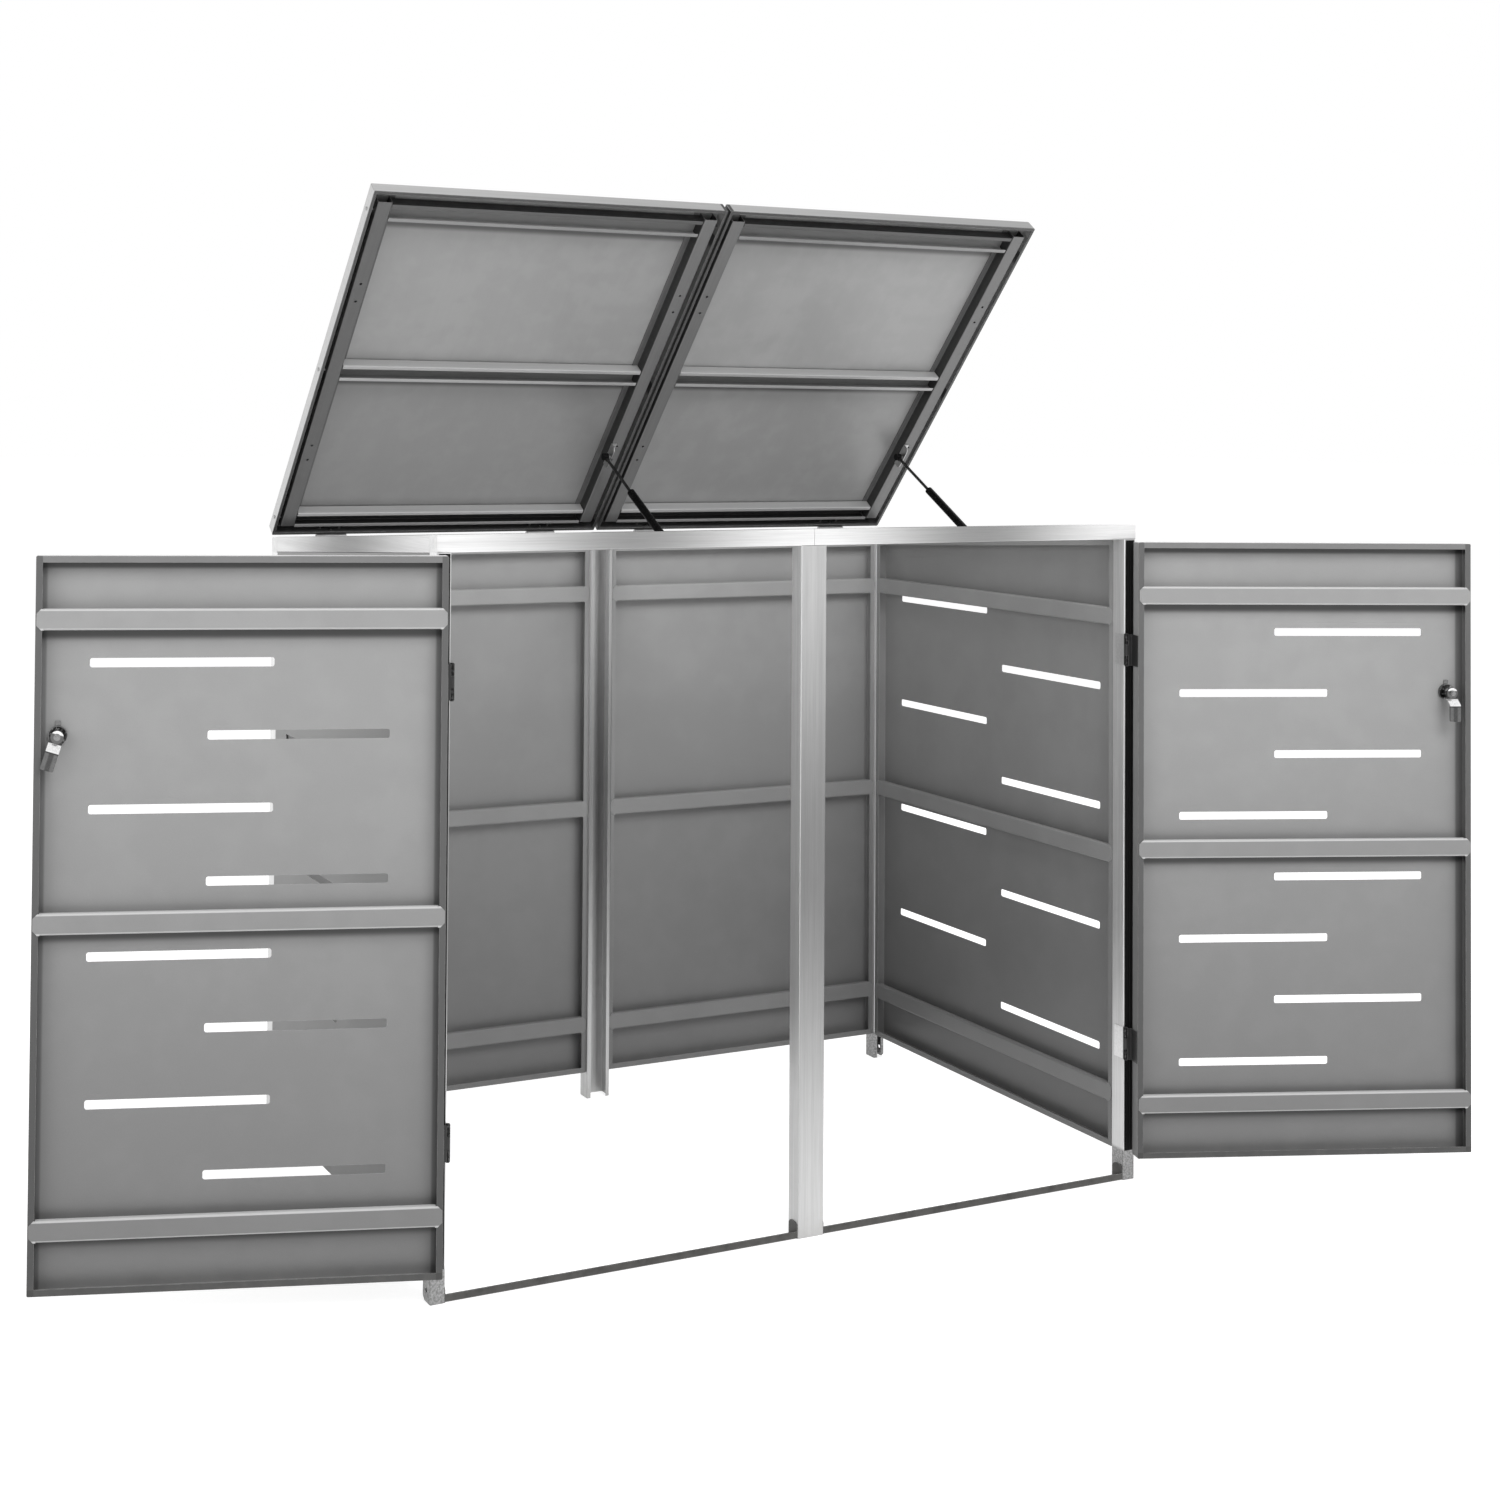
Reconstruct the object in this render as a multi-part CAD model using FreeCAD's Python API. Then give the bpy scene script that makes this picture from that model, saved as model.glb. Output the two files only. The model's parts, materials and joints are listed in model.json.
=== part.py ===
import FreeCAD, Part
import math
import os
from FreeCAD import Vector

# Two-bay wheelie bin store in folded sheet metal, millimetres.
# +X runs along the front to the right, +Y to the back, +Z up.
# The origin is on the ground, under the middle of the front face.
# At rest both doors and both lids stand open.

os.makedirs("parts", exist_ok=True)

# Overall sizes of the frame
WIDTH = 1380.0
DEPTH = 775.0
FRONT_HEIGHT = 1175.0
REAR_HEIGHT = 1127.0

# Sheet metal
SHEET = 1.2
BEND = 1.0

# Posts and rails
CORNER_POST_WIDTH = 25.0
MIDDLE_POST_WIDTH = 50.0
POST_DEPTH = 30.0
POST_LIP = 8.0
RAIL_HEIGHT = 28.0
RAIL_LIP = 12.0
SEGMENT_GAP = 0.6
RAIL_BUTT_GAP = 0.3
FOOT_HOLE_RADIUS = 3.5
FOOT_HOLE_HEIGHT = 18.0
FOOT_CHAMFER = 8.0
THRESHOLD_HEIGHT = 12.0
THRESHOLD_DEPTH = 25.0
THRESHOLD_TAB = 26.0
THRESHOLD_SETBACK = 1.5

# Folded panels, used for doors, sides and back
PAN_DEPTH = 24.0
PAN_LIP = 10.0
PANEL_GROUND_CLEARANCE = 50.0

# Horizontal stiffeners on the inside of every panel
STIFFENER_HEIGHT = 32.0
STIFFENER_FLANGE = 9.0
STIFFENER_BEND = 2.5
STIFFENER_FROM_EDGE = 95.0
STIFFENER_LAP_INSET = 1.5
STIFFENER_CHAMFER = 7.0
STIFFENER_SIDE_GAP = 1.0

# Ventilation slots in doors and side panels
SLOT_HEIGHT = 14.0
SLOT_CORNER = 3.5
SLOT_LENGTH = 277.0
SLOT_PITCH = 110.0
SLOT_ROWS = 8
SLOT_HINGE_EDGE = 86.0
SLOT_FREE_EDGE = 80.0
SIDE_SLOT_EDGE = 58.0

# Doors
DOOR_HINGE_GAP = 10.0
DOOR_FREE_GAP = 10.0
DOOR_TOP_GAP = 3.0
DOOR_PIN_FORWARD = 5.0
LEFT_DOOR_OPEN = 196.5
RIGHT_DOOR_OPEN = 161.0

# Door hinges
DOOR_HINGE_LENGTH = 56.0
DOOR_HINGE_FROM_EDGE = 195.0
DOOR_LEAF = 1.2
DOOR_LEAF_REACH = 22.0
DOOR_LEAF_FORWARD = 1.8
DOOR_KNUCKLE_RADIUS = 3.8

# Lid hinges
LID_HINGE_LENGTH = 60.0
LID_HINGE_INSET = 120.0
LID_LEAF = 1.5
LID_LEAF_MARGIN = 3.0
LID_LEAF_SCREW_NEAR = 9.0
LID_LEAF_SCREW_EDGE = 6.0
LID_LEAF_SCREW_SPREAD = 20.0
LID_KNUCKLE_RADIUS = 4.2
LID_PIN_BEHIND = 4.5
LID_PIN_BELOW = 0.3

# Shared hinge fits
HINGE_PIN_RADIUS = 2.0
HINGE_PIN_FIT = 0.05
KNUCKLE_GAP = 0.4
PIN_HEAD_RADIUS = 3.0
PIN_HEAD = 1.2

# Cam locks
LOCK_FROM_EDGE = 34.0
LOCK_BELOW_TOP = 270.0
LOCK_BARREL_RADIUS = 9.0
LOCK_BARREL_LENGTH = 20.0
LOCK_COLLAR_RADIUS = 12.5
LOCK_COLLAR = 2.5
LOCK_NUT_RADIUS = 14.5
LOCK_NUT = 5.0
LOCK_TAB_WIDTH = 8.0
LOCK_TAB_REACH = 21.5
LOCK_TAB = 1.5
LOCK_HOLE_FIT = 0.1
PLUG_RADIUS = 6.5
PLUG_FIT = 0.06
PLUG_PROUD = 0.4
CAM_WIDTH = 20.0
CAM_SHEET = 2.5
CAM_CATCH = 6.0
LEFT_CAM_TURN = 17.0
CAM_POST_GAP = 0.4
CAM_CRANK_START = 11.0
CAM_CRANK_END = 21.0
CAM_NUT_RADIUS = 5.0
CAM_NUT = 4.0
CAM_STUD_RADIUS = 3.0
KEYWAY_WIDTH = 1.6
KEYWAY_LENGTH = 8.0
KEYWAY_DEPTH = 6.0

# Lids
LID_OVERHANG = 8.5
LID_GAP = 6.0
LID_DEPTH = 25.0
LID_HEM = 5.0
LID_SEAT_GAP = 0.5
LID_OPEN = 50.0
LID_RAIL_WIDTH = 27.0
LID_RAIL_OFFSET = 12.5
LID_RAIL_FLANGE = 12.0
LID_RAIL_END_GAP = 22.0
LID_RAIL_LIFT = 1.0
CHANNEL_WIDTH = 36.0
CHANNEL_LIP = 7.0
CHANNEL_END_GAP = 0.3
CHANNEL_LIFT = 2.0
CHANNEL_FROM_REAR = 17.0
CHANNEL_FROM_FRONT = 26.0
RAIL_HOLES_FROM_REAR = (188.0, 223.0)
RAIL_HOLES_FROM_FRONT = (231.0, 193.0)
RAIL_HOLE_RADIUS = 2.4

# Screws
SCREW_RADIUS = 2.0
SCREW_HEAD_RADIUS = 3.5
SCREW_HEAD = 1.9
SCREW_LENGTH = 7.0
SCREW_FIT = 0.06
SIDE_SCREW_PAST_RAIL = 0.3

# Gas struts, one beside the right-hand rail of each lid
STRUT_STUD_ALONG = 205.0
STRUT_STUD_BELOW = 9.0
STRUT_LOWER_FROM_REAR = 363.0
STRUT_LOWER_BELOW_ROOF = 10.5
STRUT_PLANE_INSET = 10.0
STRUT_TUBE_RADIUS = 7.5
STRUT_TUBE_WALL = 1.0
STRUT_TUBE_START = 11.0
STRUT_TUBE_LENGTH = 134.0
STRUT_ROD_RADIUS = 3.0
STRUT_ROD_FIT = 0.06
STRUT_PISTON_LENGTH = 10.0
STRUT_PISTON_INSIDE = 8.0
STRUT_END_CAP = 3.0
SOCKET_RADIUS = 7.0
SOCKET_LENGTH = 10.0
SOCKET_NECK_RADIUS = 4.5
BALL_RADIUS = 4.0
BALL_CLEARANCE = 0.3
STUD_SHANK_RADIUS = 3.0
BRACKET = 1.5
BRACKET_FOOT = 10.0
BRACKET_DROP = 17.0
BRACKET_MARGIN = 8.0
LOWER_BRACKET_WIDTH = 34.0
LOWER_BRACKET_INSET = 0.8
OPEN_PIVOT_GAP = 0.4

# Places worked out from the sizes above
LEFT = -WIDTH / 2.0
RIGHT = WIDTH / 2.0
FRONT = 0.0
REAR = FRONT + DEPTH
SLOPE = math.degrees(math.atan2(FRONT_HEIGHT - REAR_HEIGHT, DEPTH))
BAY_LEFT = LEFT + CORNER_POST_WIDTH
BAY_RIGHT = -MIDDLE_POST_WIDTH / 2.0
BAY_WIDTH = BAY_RIGHT - BAY_LEFT
FRONT_RAIL_BOTTOM = FRONT_HEIGHT - RAIL_HEIGHT
REAR_RAIL_BOTTOM = REAR_HEIGHT - RAIL_HEIGHT
DOOR_WIDTH = BAY_WIDTH - DOOR_HINGE_GAP - DOOR_FREE_GAP
DOOR_BOTTOM = PANEL_GROUND_CLEARANCE
DOOR_HEIGHT = FRONT_RAIL_BOTTOM - DOOR_TOP_GAP - DOOR_BOTTOM
DOOR_LEFT = BAY_LEFT + DOOR_HINGE_GAP
DOOR_PIN = (BAY_LEFT, FRONT - DOOR_PIN_FORWARD)
LID_WIDTH = (WIDTH - LID_GAP) / 2.0
LID_LENGTH = DEPTH / math.cos(math.radians(SLOPE)) + LID_OVERHANG
LID_LEAF_REACH = LID_DEPTH - LID_LEAF_MARGIN
CHANNEL_STARTS = {
    "rear": CHANNEL_FROM_REAR,
    "middle": (LID_LENGTH - CHANNEL_WIDTH) / 2.0,
    "front": LID_LENGTH - CHANNEL_FROM_FRONT - CHANNEL_WIDTH,
}
CAM_LENGTH = LOCK_FROM_EDGE + DOOR_FREE_GAP + CAM_CATCH
CAM_CRANK_OFFSET = POST_DEPTH + CAM_POST_GAP - LOCK_BARREL_LENGTH - PLUG_PROUD
LID_SHEET_UNDERSIDE = LID_DEPTH - SHEET
SIDE_SCREW_LENGTH = LID_RAIL_OFFSET + SHEET + SIDE_SCREW_PAST_RAIL


def roof(y):
    """Height of the sloping plane that touches the tops of all the rails."""
    return FRONT_HEIGHT - (y - FRONT) * math.tan(math.radians(SLOPE))


LID_PIN_Y = REAR + LID_PIN_BEHIND
LID_PIN_Z = roof(LID_PIN_Y) + (LID_SEAT_GAP - LID_PIN_BELOW) / math.cos(math.radians(SLOPE))


# Shape helpers

def block(x0, x1, y0, y1, z0, z1):
    return Part.makeBox(x1 - x0, y1 - y0, z1 - z0, Vector(x0, y0, z0))


def rod(radius, start, end):
    axis = end - start
    return Part.makeCylinder(radius, axis.Length, start, axis)


def union(shapes):
    whole = shapes[0].multiFuse(shapes[1:]) if len(shapes) > 1 else shapes[0]
    return whole.removeSplitter()


def turned(shape, centre, axis, degrees):
    out = shape.copy()
    out.rotate(centre, axis, degrees)
    return out


def moved(shape, dx, dy, dz):
    out = shape.copy()
    out.translate(Vector(dx, dy, dz))
    return out


def mirrored(shape):
    return shape.mirror(Vector(0, 0, 0), Vector(1, 0, 0))


def in_plane(plane, a, b):
    """Places plane coordinates in space: xy, yz or xz."""
    if plane == "xy":
        return Vector(a, b, 0)
    if plane == "yz":
        return Vector(0, a, b)
    return Vector(a, 0, b)


def along(plane, distance):
    """The direction across a plane, as a vector of that length."""
    if plane == "xy":
        return Vector(0, 0, distance)
    if plane == "yz":
        return Vector(distance, 0, 0)
    return Vector(0, distance, 0)


def rounded_prism(points, radii, plane, start, length):
    """A prism whose corners are rounded by one radius each, 0 for a sharp one."""
    count = len(points)
    stops = []
    for i in range(count):
        before = Vector(*points[i - 1], 0)
        corner = Vector(*points[i], 0)
        after = Vector(*points[(i + 1) % count], 0)
        into = (before - corner).normalize()
        out = (after - corner).normalize()
        radius = radii[i]
        if radius <= 0.0:
            stops.append((corner, None, corner))
            continue
        half = into.getAngle(out) / 2.0
        reach = radius / math.tan(half)
        middle = (into + out).normalize() * (radius / math.sin(half) - radius)
        stops.append((corner + into * reach, corner + middle, corner + out * reach))
    edges = []
    for i in range(count):
        first, bend, last = [v and in_plane(plane, v.x, v.y) for v in stops[i]]
        following = stops[(i + 1) % count][0]
        following = in_plane(plane, following.x, following.y)
        if bend:
            edges.append(Part.Arc(first, bend, last).toShape())
        if last.distanceToPoint(following) > 1e-6:
            edges.append(Part.LineSegment(last, following).toShape())
    face = Part.Face(Part.Wire(edges))
    face.translate(along(plane, start))
    return face.extrude(along(plane, length))


def folded(path, plane, start, length, sheet=SHEET, bend=BEND):
    """Sheet folded along a centre line, with rounded bends."""
    half = sheet / 2.0
    sides = {1: [], -1: []}
    radii = {1: [], -1: []}
    count = len(path)
    for i in range(count):
        here = Vector(*path[i], 0)
        steps = []
        if i > 0:
            steps.append((here - Vector(*path[i - 1], 0)).normalize())
        if i < count - 1:
            steps.append((Vector(*path[i + 1], 0) - here).normalize())
        normals = [Vector(-s.y, s.x, 0) for s in steps]
        if len(normals) == 1:
            miter = normals[0]
            turn = 0.0
        else:
            total = normals[0] + normals[1]
            miter = total * (2.0 / total.dot(total))
            turn = steps[0].x * steps[1].y - steps[0].y * steps[1].x
        for side in (1, -1):
            point = here + miter * (half * side)
            sides[side].append((point.x, point.y))
            inner = turn * side > 0
            radii[side].append(0.0 if turn == 0.0 else (bend if inner else bend + sheet))
    outline = sides[1] + sides[-1][::-1]
    corners = radii[1] + radii[-1][::-1]
    return rounded_prism(outline, corners, plane, start, length)


def inset(points, distance):
    """A convex outline, drawn anticlockwise, moved inwards by a distance."""
    count = len(points)
    result = []
    for i in range(count):
        here = Vector(*points[i], 0)
        a = (here - Vector(*points[i - 1], 0)).normalize()
        b = (Vector(*points[(i + 1) % count], 0) - here).normalize()
        total = Vector(-a.y, a.x, 0) + Vector(-b.y, b.x, 0)
        point = here + total * (2.0 * distance / total.dot(total))
        result.append((point.x, point.y))
    return result


def softened(shape, radius, skin_y):
    """Rounds the bends round the skin of a tray, and its four corners."""
    edges = []
    for edge in shape.Edges:
        ends = [v.Point for v in edge.Vertexes]
        on_skin = all(abs(p.y - skin_y) < 1e-6 for p in ends)
        across = abs(ends[0].x - ends[1].x) + abs(ends[0].z - ends[1].z) < 1e-6
        if on_skin or across:
            edges.append(edge)
    return shape.makeFillet(radius, edges)


def tray(outline, depth, lip):
    """A pan folded from one sheet: skin at y 0, flanges to y depth, lips turned inwards."""
    flat = [0.0] * len(outline)
    outer = softened(rounded_prism(outline, flat, "xz", 0.0, depth), BEND + SHEET, 0.0)
    hollow = rounded_prism(inset(outline, SHEET), flat, "xz", SHEET, depth - 2.0 * SHEET)
    mouth = rounded_prism(inset(outline, lip), flat, "xz", SHEET, depth)
    return outer.cut(softened(hollow, BEND, SHEET)).cut(mouth)


def slot_cutter(x0, z, y0, y1):
    half = SLOT_HEIGHT / 2.0
    x1 = x0 + SLOT_LENGTH
    corners = [(x0, z - half), (x1, z - half), (x1, z + half), (x0, z + half)]
    return rounded_prism(corners, [SLOT_CORNER] * 4, "xz", y0, y1 - y0)


def slot_rows(top, starts):
    """Cutters for rows of slots that take their starts in turn, the first row on top."""
    cutters = []
    for row in range(SLOT_ROWS):
        z = top - row * SLOT_PITCH
        cutters.append(slot_cutter(starts[row % 2], z, -1.0, SHEET + 1.0))
    return Part.makeCompound(cutters)


def stiffener(width, z):
    """A shallow channel whose web laps over the lips at both ends, in tray coordinates."""
    low = z - STIFFENER_HEIGHT / 2.0
    high = z + STIFFENER_HEIGHT / 2.0
    x0 = STIFFENER_LAP_INSET
    x1 = width - STIFFENER_LAP_INSET
    cut = STIFFENER_CHAMFER
    plate = [(x0 + cut, low), (x1 - cut, low), (x1, low + cut), (x1, high - cut),
             (x1 - cut, high), (x0 + cut, high), (x0, high - cut), (x0, low + cut)]
    web_y = PAN_DEPTH + SHEET / 2.0
    half = SHEET / 2.0
    start = PAN_LIP + STIFFENER_SIDE_GAP
    edge_y = PAN_DEPTH + SHEET - STIFFENER_FLANGE
    channel = folded([(edge_y, low + half), (web_y, low + half), (web_y, high - half),
                      (edge_y, high - half)], "yz", start, width - 2.0 * start,
                     SHEET, STIFFENER_BEND)
    lap = start + SHEET
    web = rounded_prism(plate, [0.0] * len(plate), "xz", PAN_DEPTH, SHEET)
    middle = block(lap, width - lap, PAN_DEPTH - 1.0, PAN_DEPTH + SHEET + 1.0,
                   low - 1.0, high + 1.0)
    return union([channel, web.cut(middle)])


def stiffener_heights(bottom, top):
    return (bottom + STIFFENER_FROM_EDGE, (bottom + top) / 2.0, top - STIFFENER_FROM_EDGE)


def screw(head_at, inward, length=SCREW_LENGTH):
    """A pan-head screw: its head stands out from head_at, its shank goes inward."""
    inward = Vector(inward).normalize()
    head = Part.makeCylinder(SCREW_HEAD_RADIUS, SCREW_HEAD, head_at - inward * SCREW_HEAD, inward)
    rims = [e for e in head.Edges if abs(e.Length - 2.0 * math.pi * SCREW_HEAD_RADIUS) < 0.01]
    outer = max(rims, key=lambda e: (e.CenterOfMass - head_at).dot(inward * -1.0))
    head = head.makeFillet(SCREW_HEAD * 0.5, [outer])
    shank = rod(SCREW_RADIUS, head_at, head_at + inward * length)
    return union([head, shank])


def screw_hole(head_at, inward, length=SCREW_LENGTH):
    inward = Vector(inward).normalize()
    reach = inward * (length + 0.5)
    return rod(SCREW_RADIUS + SCREW_FIT, head_at - inward, head_at + reach)


PARTS = {}


def keep(name, *shapes):
    PARTS[name] = list(shapes)


# Posts, open towards the inside of the store

def post(x_outer, x_inner, y_face, inward, height):
    """A lipped post: a face at y_face, two legs that run inward, and a lip turned in on each."""
    half = SHEET / 2.0
    sign = 1.0 if x_inner > x_outer else -1.0
    end = y_face + inward * (POST_DEPTH - half)
    line = y_face + inward * half
    path = [(x_outer + sign * POST_LIP, end), (x_outer + sign * half, end),
            (x_outer + sign * half, line), (x_inner - sign * half, line),
            (x_inner - sign * half, end), (x_inner - sign * POST_LIP, end)]
    return folded(path, "xy", 0.0, height)


def foot_holes(shape, x_outer, y_face, inward):
    """The anchor hole low in the outer leg of a corner post, and its clipped foot."""
    sign = 1.0 if x_outer < 0 else -1.0
    y = y_face + inward * POST_DEPTH / 2.0
    start = Vector(x_outer - sign, y, FOOT_HOLE_HEIGHT)
    shape = shape.cut(rod(FOOT_HOLE_RADIUS, start, start + Vector(sign * (SHEET + 2.0), 0, 0)))
    y_end = y_face + inward * POST_DEPTH
    clip = [(y_end, 0.0), (y_end - inward * FOOT_CHAMFER, 0.0), (y_end, FOOT_CHAMFER)]
    return shape.cut(rounded_prism(clip, [0.0] * 3, "yz", x_outer - sign, sign * (POST_LIP + 2.0)))


def frame_posts():
    rows = (("front", FRONT, 1.0, FRONT_RAIL_BOTTOM), ("rear", REAR, -1.0, REAR_RAIL_BOTTOM))
    half = MIDDLE_POST_WIDTH / 2.0
    for row, y_face, inward, height in rows:
        for side, x in (("left", LEFT), ("right", RIGHT)):
            inner = x + math.copysign(CORNER_POST_WIDTH, -x)
            corner = post(x, inner, y_face, inward, height)
            keep(f"{row}_{side}_post", foot_holes(corner, x, y_face, inward))
        keep(f"{row}_middle_post", post(-half, half, y_face, inward, height))


# Top rails

def cross_rail(x0, x1, y_face, inward, top):
    """A front or rear rail: its top flange follows the slope of the roof."""
    half = SHEET / 2.0
    lean = -inward * math.tan(math.radians(SLOPE))
    y0 = y_face + inward * half
    y1 = y_face + inward * POST_DEPTH
    bottom = top - RAIL_HEIGHT + half
    path = [(y0 + inward * RAIL_LIP, bottom), (y0, bottom), (y0, top - half),
            (y1, top - half + lean * (POST_DEPTH - half))]
    return folded(path, "yz", x0, x1 - x0)


def end_tab(x, y_face, inward, top):
    """The folded tab that closes the outer end of a cross rail."""
    lean = -inward * math.tan(math.radians(SLOPE))
    y_end = y_face + inward * POST_DEPTH
    bottom = top - RAIL_HEIGHT
    corners = [(y_face, bottom), (y_end, bottom), (y_end, top + lean * POST_DEPTH), (y_face, top)]
    radii = [BEND + SHEET, 0.0, 0.0, BEND + SHEET]
    return rounded_prism(corners, radii, "yz", x, SHEET)


def long_rail(x_web, x_edge):
    """A rail from front to back under the roof plane, open towards the bay."""
    half = SHEET / 2.0
    sign = 1.0 if x_edge > x_web else -1.0
    web = x_web + sign * half
    path = [(x_edge, half - RAIL_HEIGHT), (web, half - RAIL_HEIGHT), (web, -half), (x_edge, -half)]
    margin = 10.0
    run = folded(path, "xz", FRONT - margin, DEPTH + 2.0 * margin)
    return lean_to_roof(run)


def lean_to_roof(shape):
    """Turns a run made level at height 0 to the slope, and trims it between the cross rails."""
    shape = moved(shape, 0, 0, FRONT_HEIGHT)
    shape = turned(shape, Vector(0, FRONT, FRONT_HEIGHT), Vector(1, 0, 0), -SLOPE)
    y0 = FRONT + POST_DEPTH + RAIL_BUTT_GAP
    y1 = REAR - POST_DEPTH - RAIL_BUTT_GAP
    limits = block(LEFT - 1.0, RIGHT + 1.0, y0, y1, 0.0, FRONT_HEIGHT + RAIL_HEIGHT)
    return shape.common(limits)


def frame_rails():
    spans = (("left", LEFT, -SEGMENT_GAP / 2.0), ("right", SEGMENT_GAP / 2.0, RIGHT))
    ends = {"left": LEFT, "right": RIGHT - SHEET}
    rows = (("front", FRONT, 1.0, FRONT_HEIGHT), ("rear", REAR, -1.0, REAR_HEIGHT))
    for side, x0, x1 in spans:
        for row, y_face, inward, top in rows:
            rail = cross_rail(x0, x1, y_face, inward, top)
            tab = end_tab(ends[side], y_face, inward, top)
            keep(f"{row}_{side}_top_rail", union([rail, tab]))
    keep("left_side_top_rail", long_rail(LEFT, BAY_LEFT))
    keep("right_side_top_rail", long_rail(RIGHT, -BAY_LEFT))
    half = MIDDLE_POST_WIDTH / 2.0
    line = half - SHEET / 2.0
    margin = 10.0
    path = [(-line, -RAIL_HEIGHT), (-line, -SHEET / 2.0), (line, -SHEET / 2.0), (line, -RAIL_HEIGHT)]
    run = folded(path, "xz", FRONT - margin, DEPTH + 2.0 * margin)
    keep("centre_top_rail", lean_to_roof(run))


# Threshold bars that tie the front posts at the ground

def threshold(x0, x1):
    half = SHEET / 2.0
    y0 = FRONT + THRESHOLD_SETBACK
    y1 = y0 + THRESHOLD_DEPTH
    bar = folded([(y0 + half, THRESHOLD_HEIGHT), (y0 + half, half), (y1, half)], "yz", x0, x1 - x0)
    corners = [(y0, 0.0), (y1, 0.0), (y1, THRESHOLD_TAB), (y0, THRESHOLD_TAB)]
    radii = [0.0, 0.0, THRESHOLD_DEPTH * 0.35, THRESHOLD_DEPTH * 0.35]
    tabs = [rounded_prism(corners, radii, "yz", x, SHEET) for x in (x0, x1 - SHEET)]
    return union([bar] + tabs)


# Side and back panels

def side_outline():
    """The left side panel seen from outside, front edge at 0, top under the sloping rail."""
    length = DEPTH - 2.0 * POST_DEPTH
    drop = RAIL_HEIGHT / math.cos(math.radians(SLOPE))
    y0 = FRONT + POST_DEPTH
    top_front = roof(y0) - drop - PANEL_GROUND_CLEARANCE
    top_rear = roof(y0 + length) - drop - PANEL_GROUND_CLEARANCE
    return [(0.0, 0.0), (length, 0.0), (length, top_rear), (0.0, top_front)]


def stand_on_left(shape):
    """Turns tray coordinates so that the skin faces left and x runs to the back."""
    shape = turned(shape, Vector(0, 0, 0), Vector(0, 0, 1), 90.0)
    shape = shape.mirror(Vector(0, 0, 0), Vector(1, 0, 0))
    return moved(shape, LEFT, FRONT + POST_DEPTH, PANEL_GROUND_CLEARANCE)


def slot_top(height):
    """Height of the first row, with the rows centred on a panel of that height."""
    return height / 2.0 + SLOT_PITCH * (SLOT_ROWS - 1) / 2.0


def frame_panels():
    outline = side_outline()
    length = outline[1][0]
    starts = (length - SIDE_SLOT_EDGE - SLOT_LENGTH, SIDE_SLOT_EDGE)
    cutters = slot_rows(slot_top(DOOR_HEIGHT), starts)
    panel = stand_on_left(tray(outline, PAN_DEPTH, PAN_LIP).cut(cutters))
    keep("left_side_panel", panel)
    keep("right_side_panel", mirrored(panel))
    ribs = [stand_on_left(stiffener(length, z)) for z in stiffener_heights(0.0, outline[2][1])]
    keep("left_side_panel_stiffeners", *ribs)
    keep("right_side_panel_stiffeners", *[mirrored(rib) for rib in ribs])

    height = REAR_RAIL_BOTTOM - PANEL_GROUND_CLEARANCE
    outline = [(0.0, 0.0), (BAY_WIDTH, 0.0), (BAY_WIDTH, height), (0.0, height)]
    ribs = [stiffener(BAY_WIDTH, z) for z in stiffener_heights(0.0, height)]
    shapes = [tray(outline, PAN_DEPTH, PAN_LIP)] + ribs
    placed = []
    for shape in shapes:
        facing_back = turned(shape, Vector(0, 0, 0), Vector(0, 0, 1), 180.0)
        placed.append(moved(facing_back, BAY_RIGHT, REAR, PANEL_GROUND_CLEARANCE))
    keep("left_back_panel", placed[0])
    keep("right_back_panel", mirrored(placed[0]))
    keep("back_panel_stiffeners", *placed[1:], *[mirrored(rib) for rib in placed[1:]])


# Butt hinges, built about a pin along Z with its middle at the origin

def knuckles(length, radius, own):
    """Barrel pieces of one leaf: the two outer thirds, or the middle one."""
    third = length / 3.0
    rooms = ((-1.5, -0.5), (0.5, 1.5)) if own == "outer" else ((-0.5, 0.5),)
    pieces = []
    for low, high in rooms:
        z0 = low * third + (KNUCKLE_GAP / 2.0 if low > -1.5 else 0.0)
        z1 = high * third - (KNUCKLE_GAP / 2.0 if high < 1.5 else 0.0)
        pieces.append(Part.makeCylinder(radius, z1 - z0, Vector(0, 0, z0)))
    return pieces


def leaf(length, radius, own, plate):
    """A hinge leaf: its plate, its knuckles, room for the other leaf's, and the pin's bore."""
    other = "middle" if own == "outer" else "outer"
    room = []
    for piece in knuckles(length, radius + KNUCKLE_GAP, other):
        box = piece.BoundBox
        grow = 0.0 if other == "middle" else 1.0
        z0 = box.ZMin - KNUCKLE_GAP - (grow if box.ZMin < -length / 3.0 else 0.0)
        z1 = box.ZMax + KNUCKLE_GAP + (grow if box.ZMax > length / 3.0 else 0.0)
        room.append(Part.makeCylinder(radius + KNUCKLE_GAP, z1 - z0, Vector(0, 0, z0)))
    body = union([plate.cut(Part.makeCompound(room))] + knuckles(length, radius, own))
    half = length / 2.0 + 1.0
    return body.cut(rod(HINGE_PIN_RADIUS + HINGE_PIN_FIT, Vector(0, 0, -half), Vector(0, 0, half)))


def hinge_pin(length):
    z0 = -length / 2.0
    shaft = Part.makeCylinder(HINGE_PIN_RADIUS, length, Vector(0, 0, z0))
    heads = [Part.makeCylinder(PIN_HEAD_RADIUS, PIN_HEAD, Vector(0, 0, z))
             for z in (z0 - PIN_HEAD - KNUCKLE_GAP / 2.0, -z0 + KNUCKLE_GAP / 2.0)]
    necks = [Part.makeCylinder(HINGE_PIN_RADIUS, KNUCKLE_GAP, Vector(0, 0, z))
             for z in (z0 - KNUCKLE_GAP, -z0)]
    return union([shaft] + heads + necks)


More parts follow.
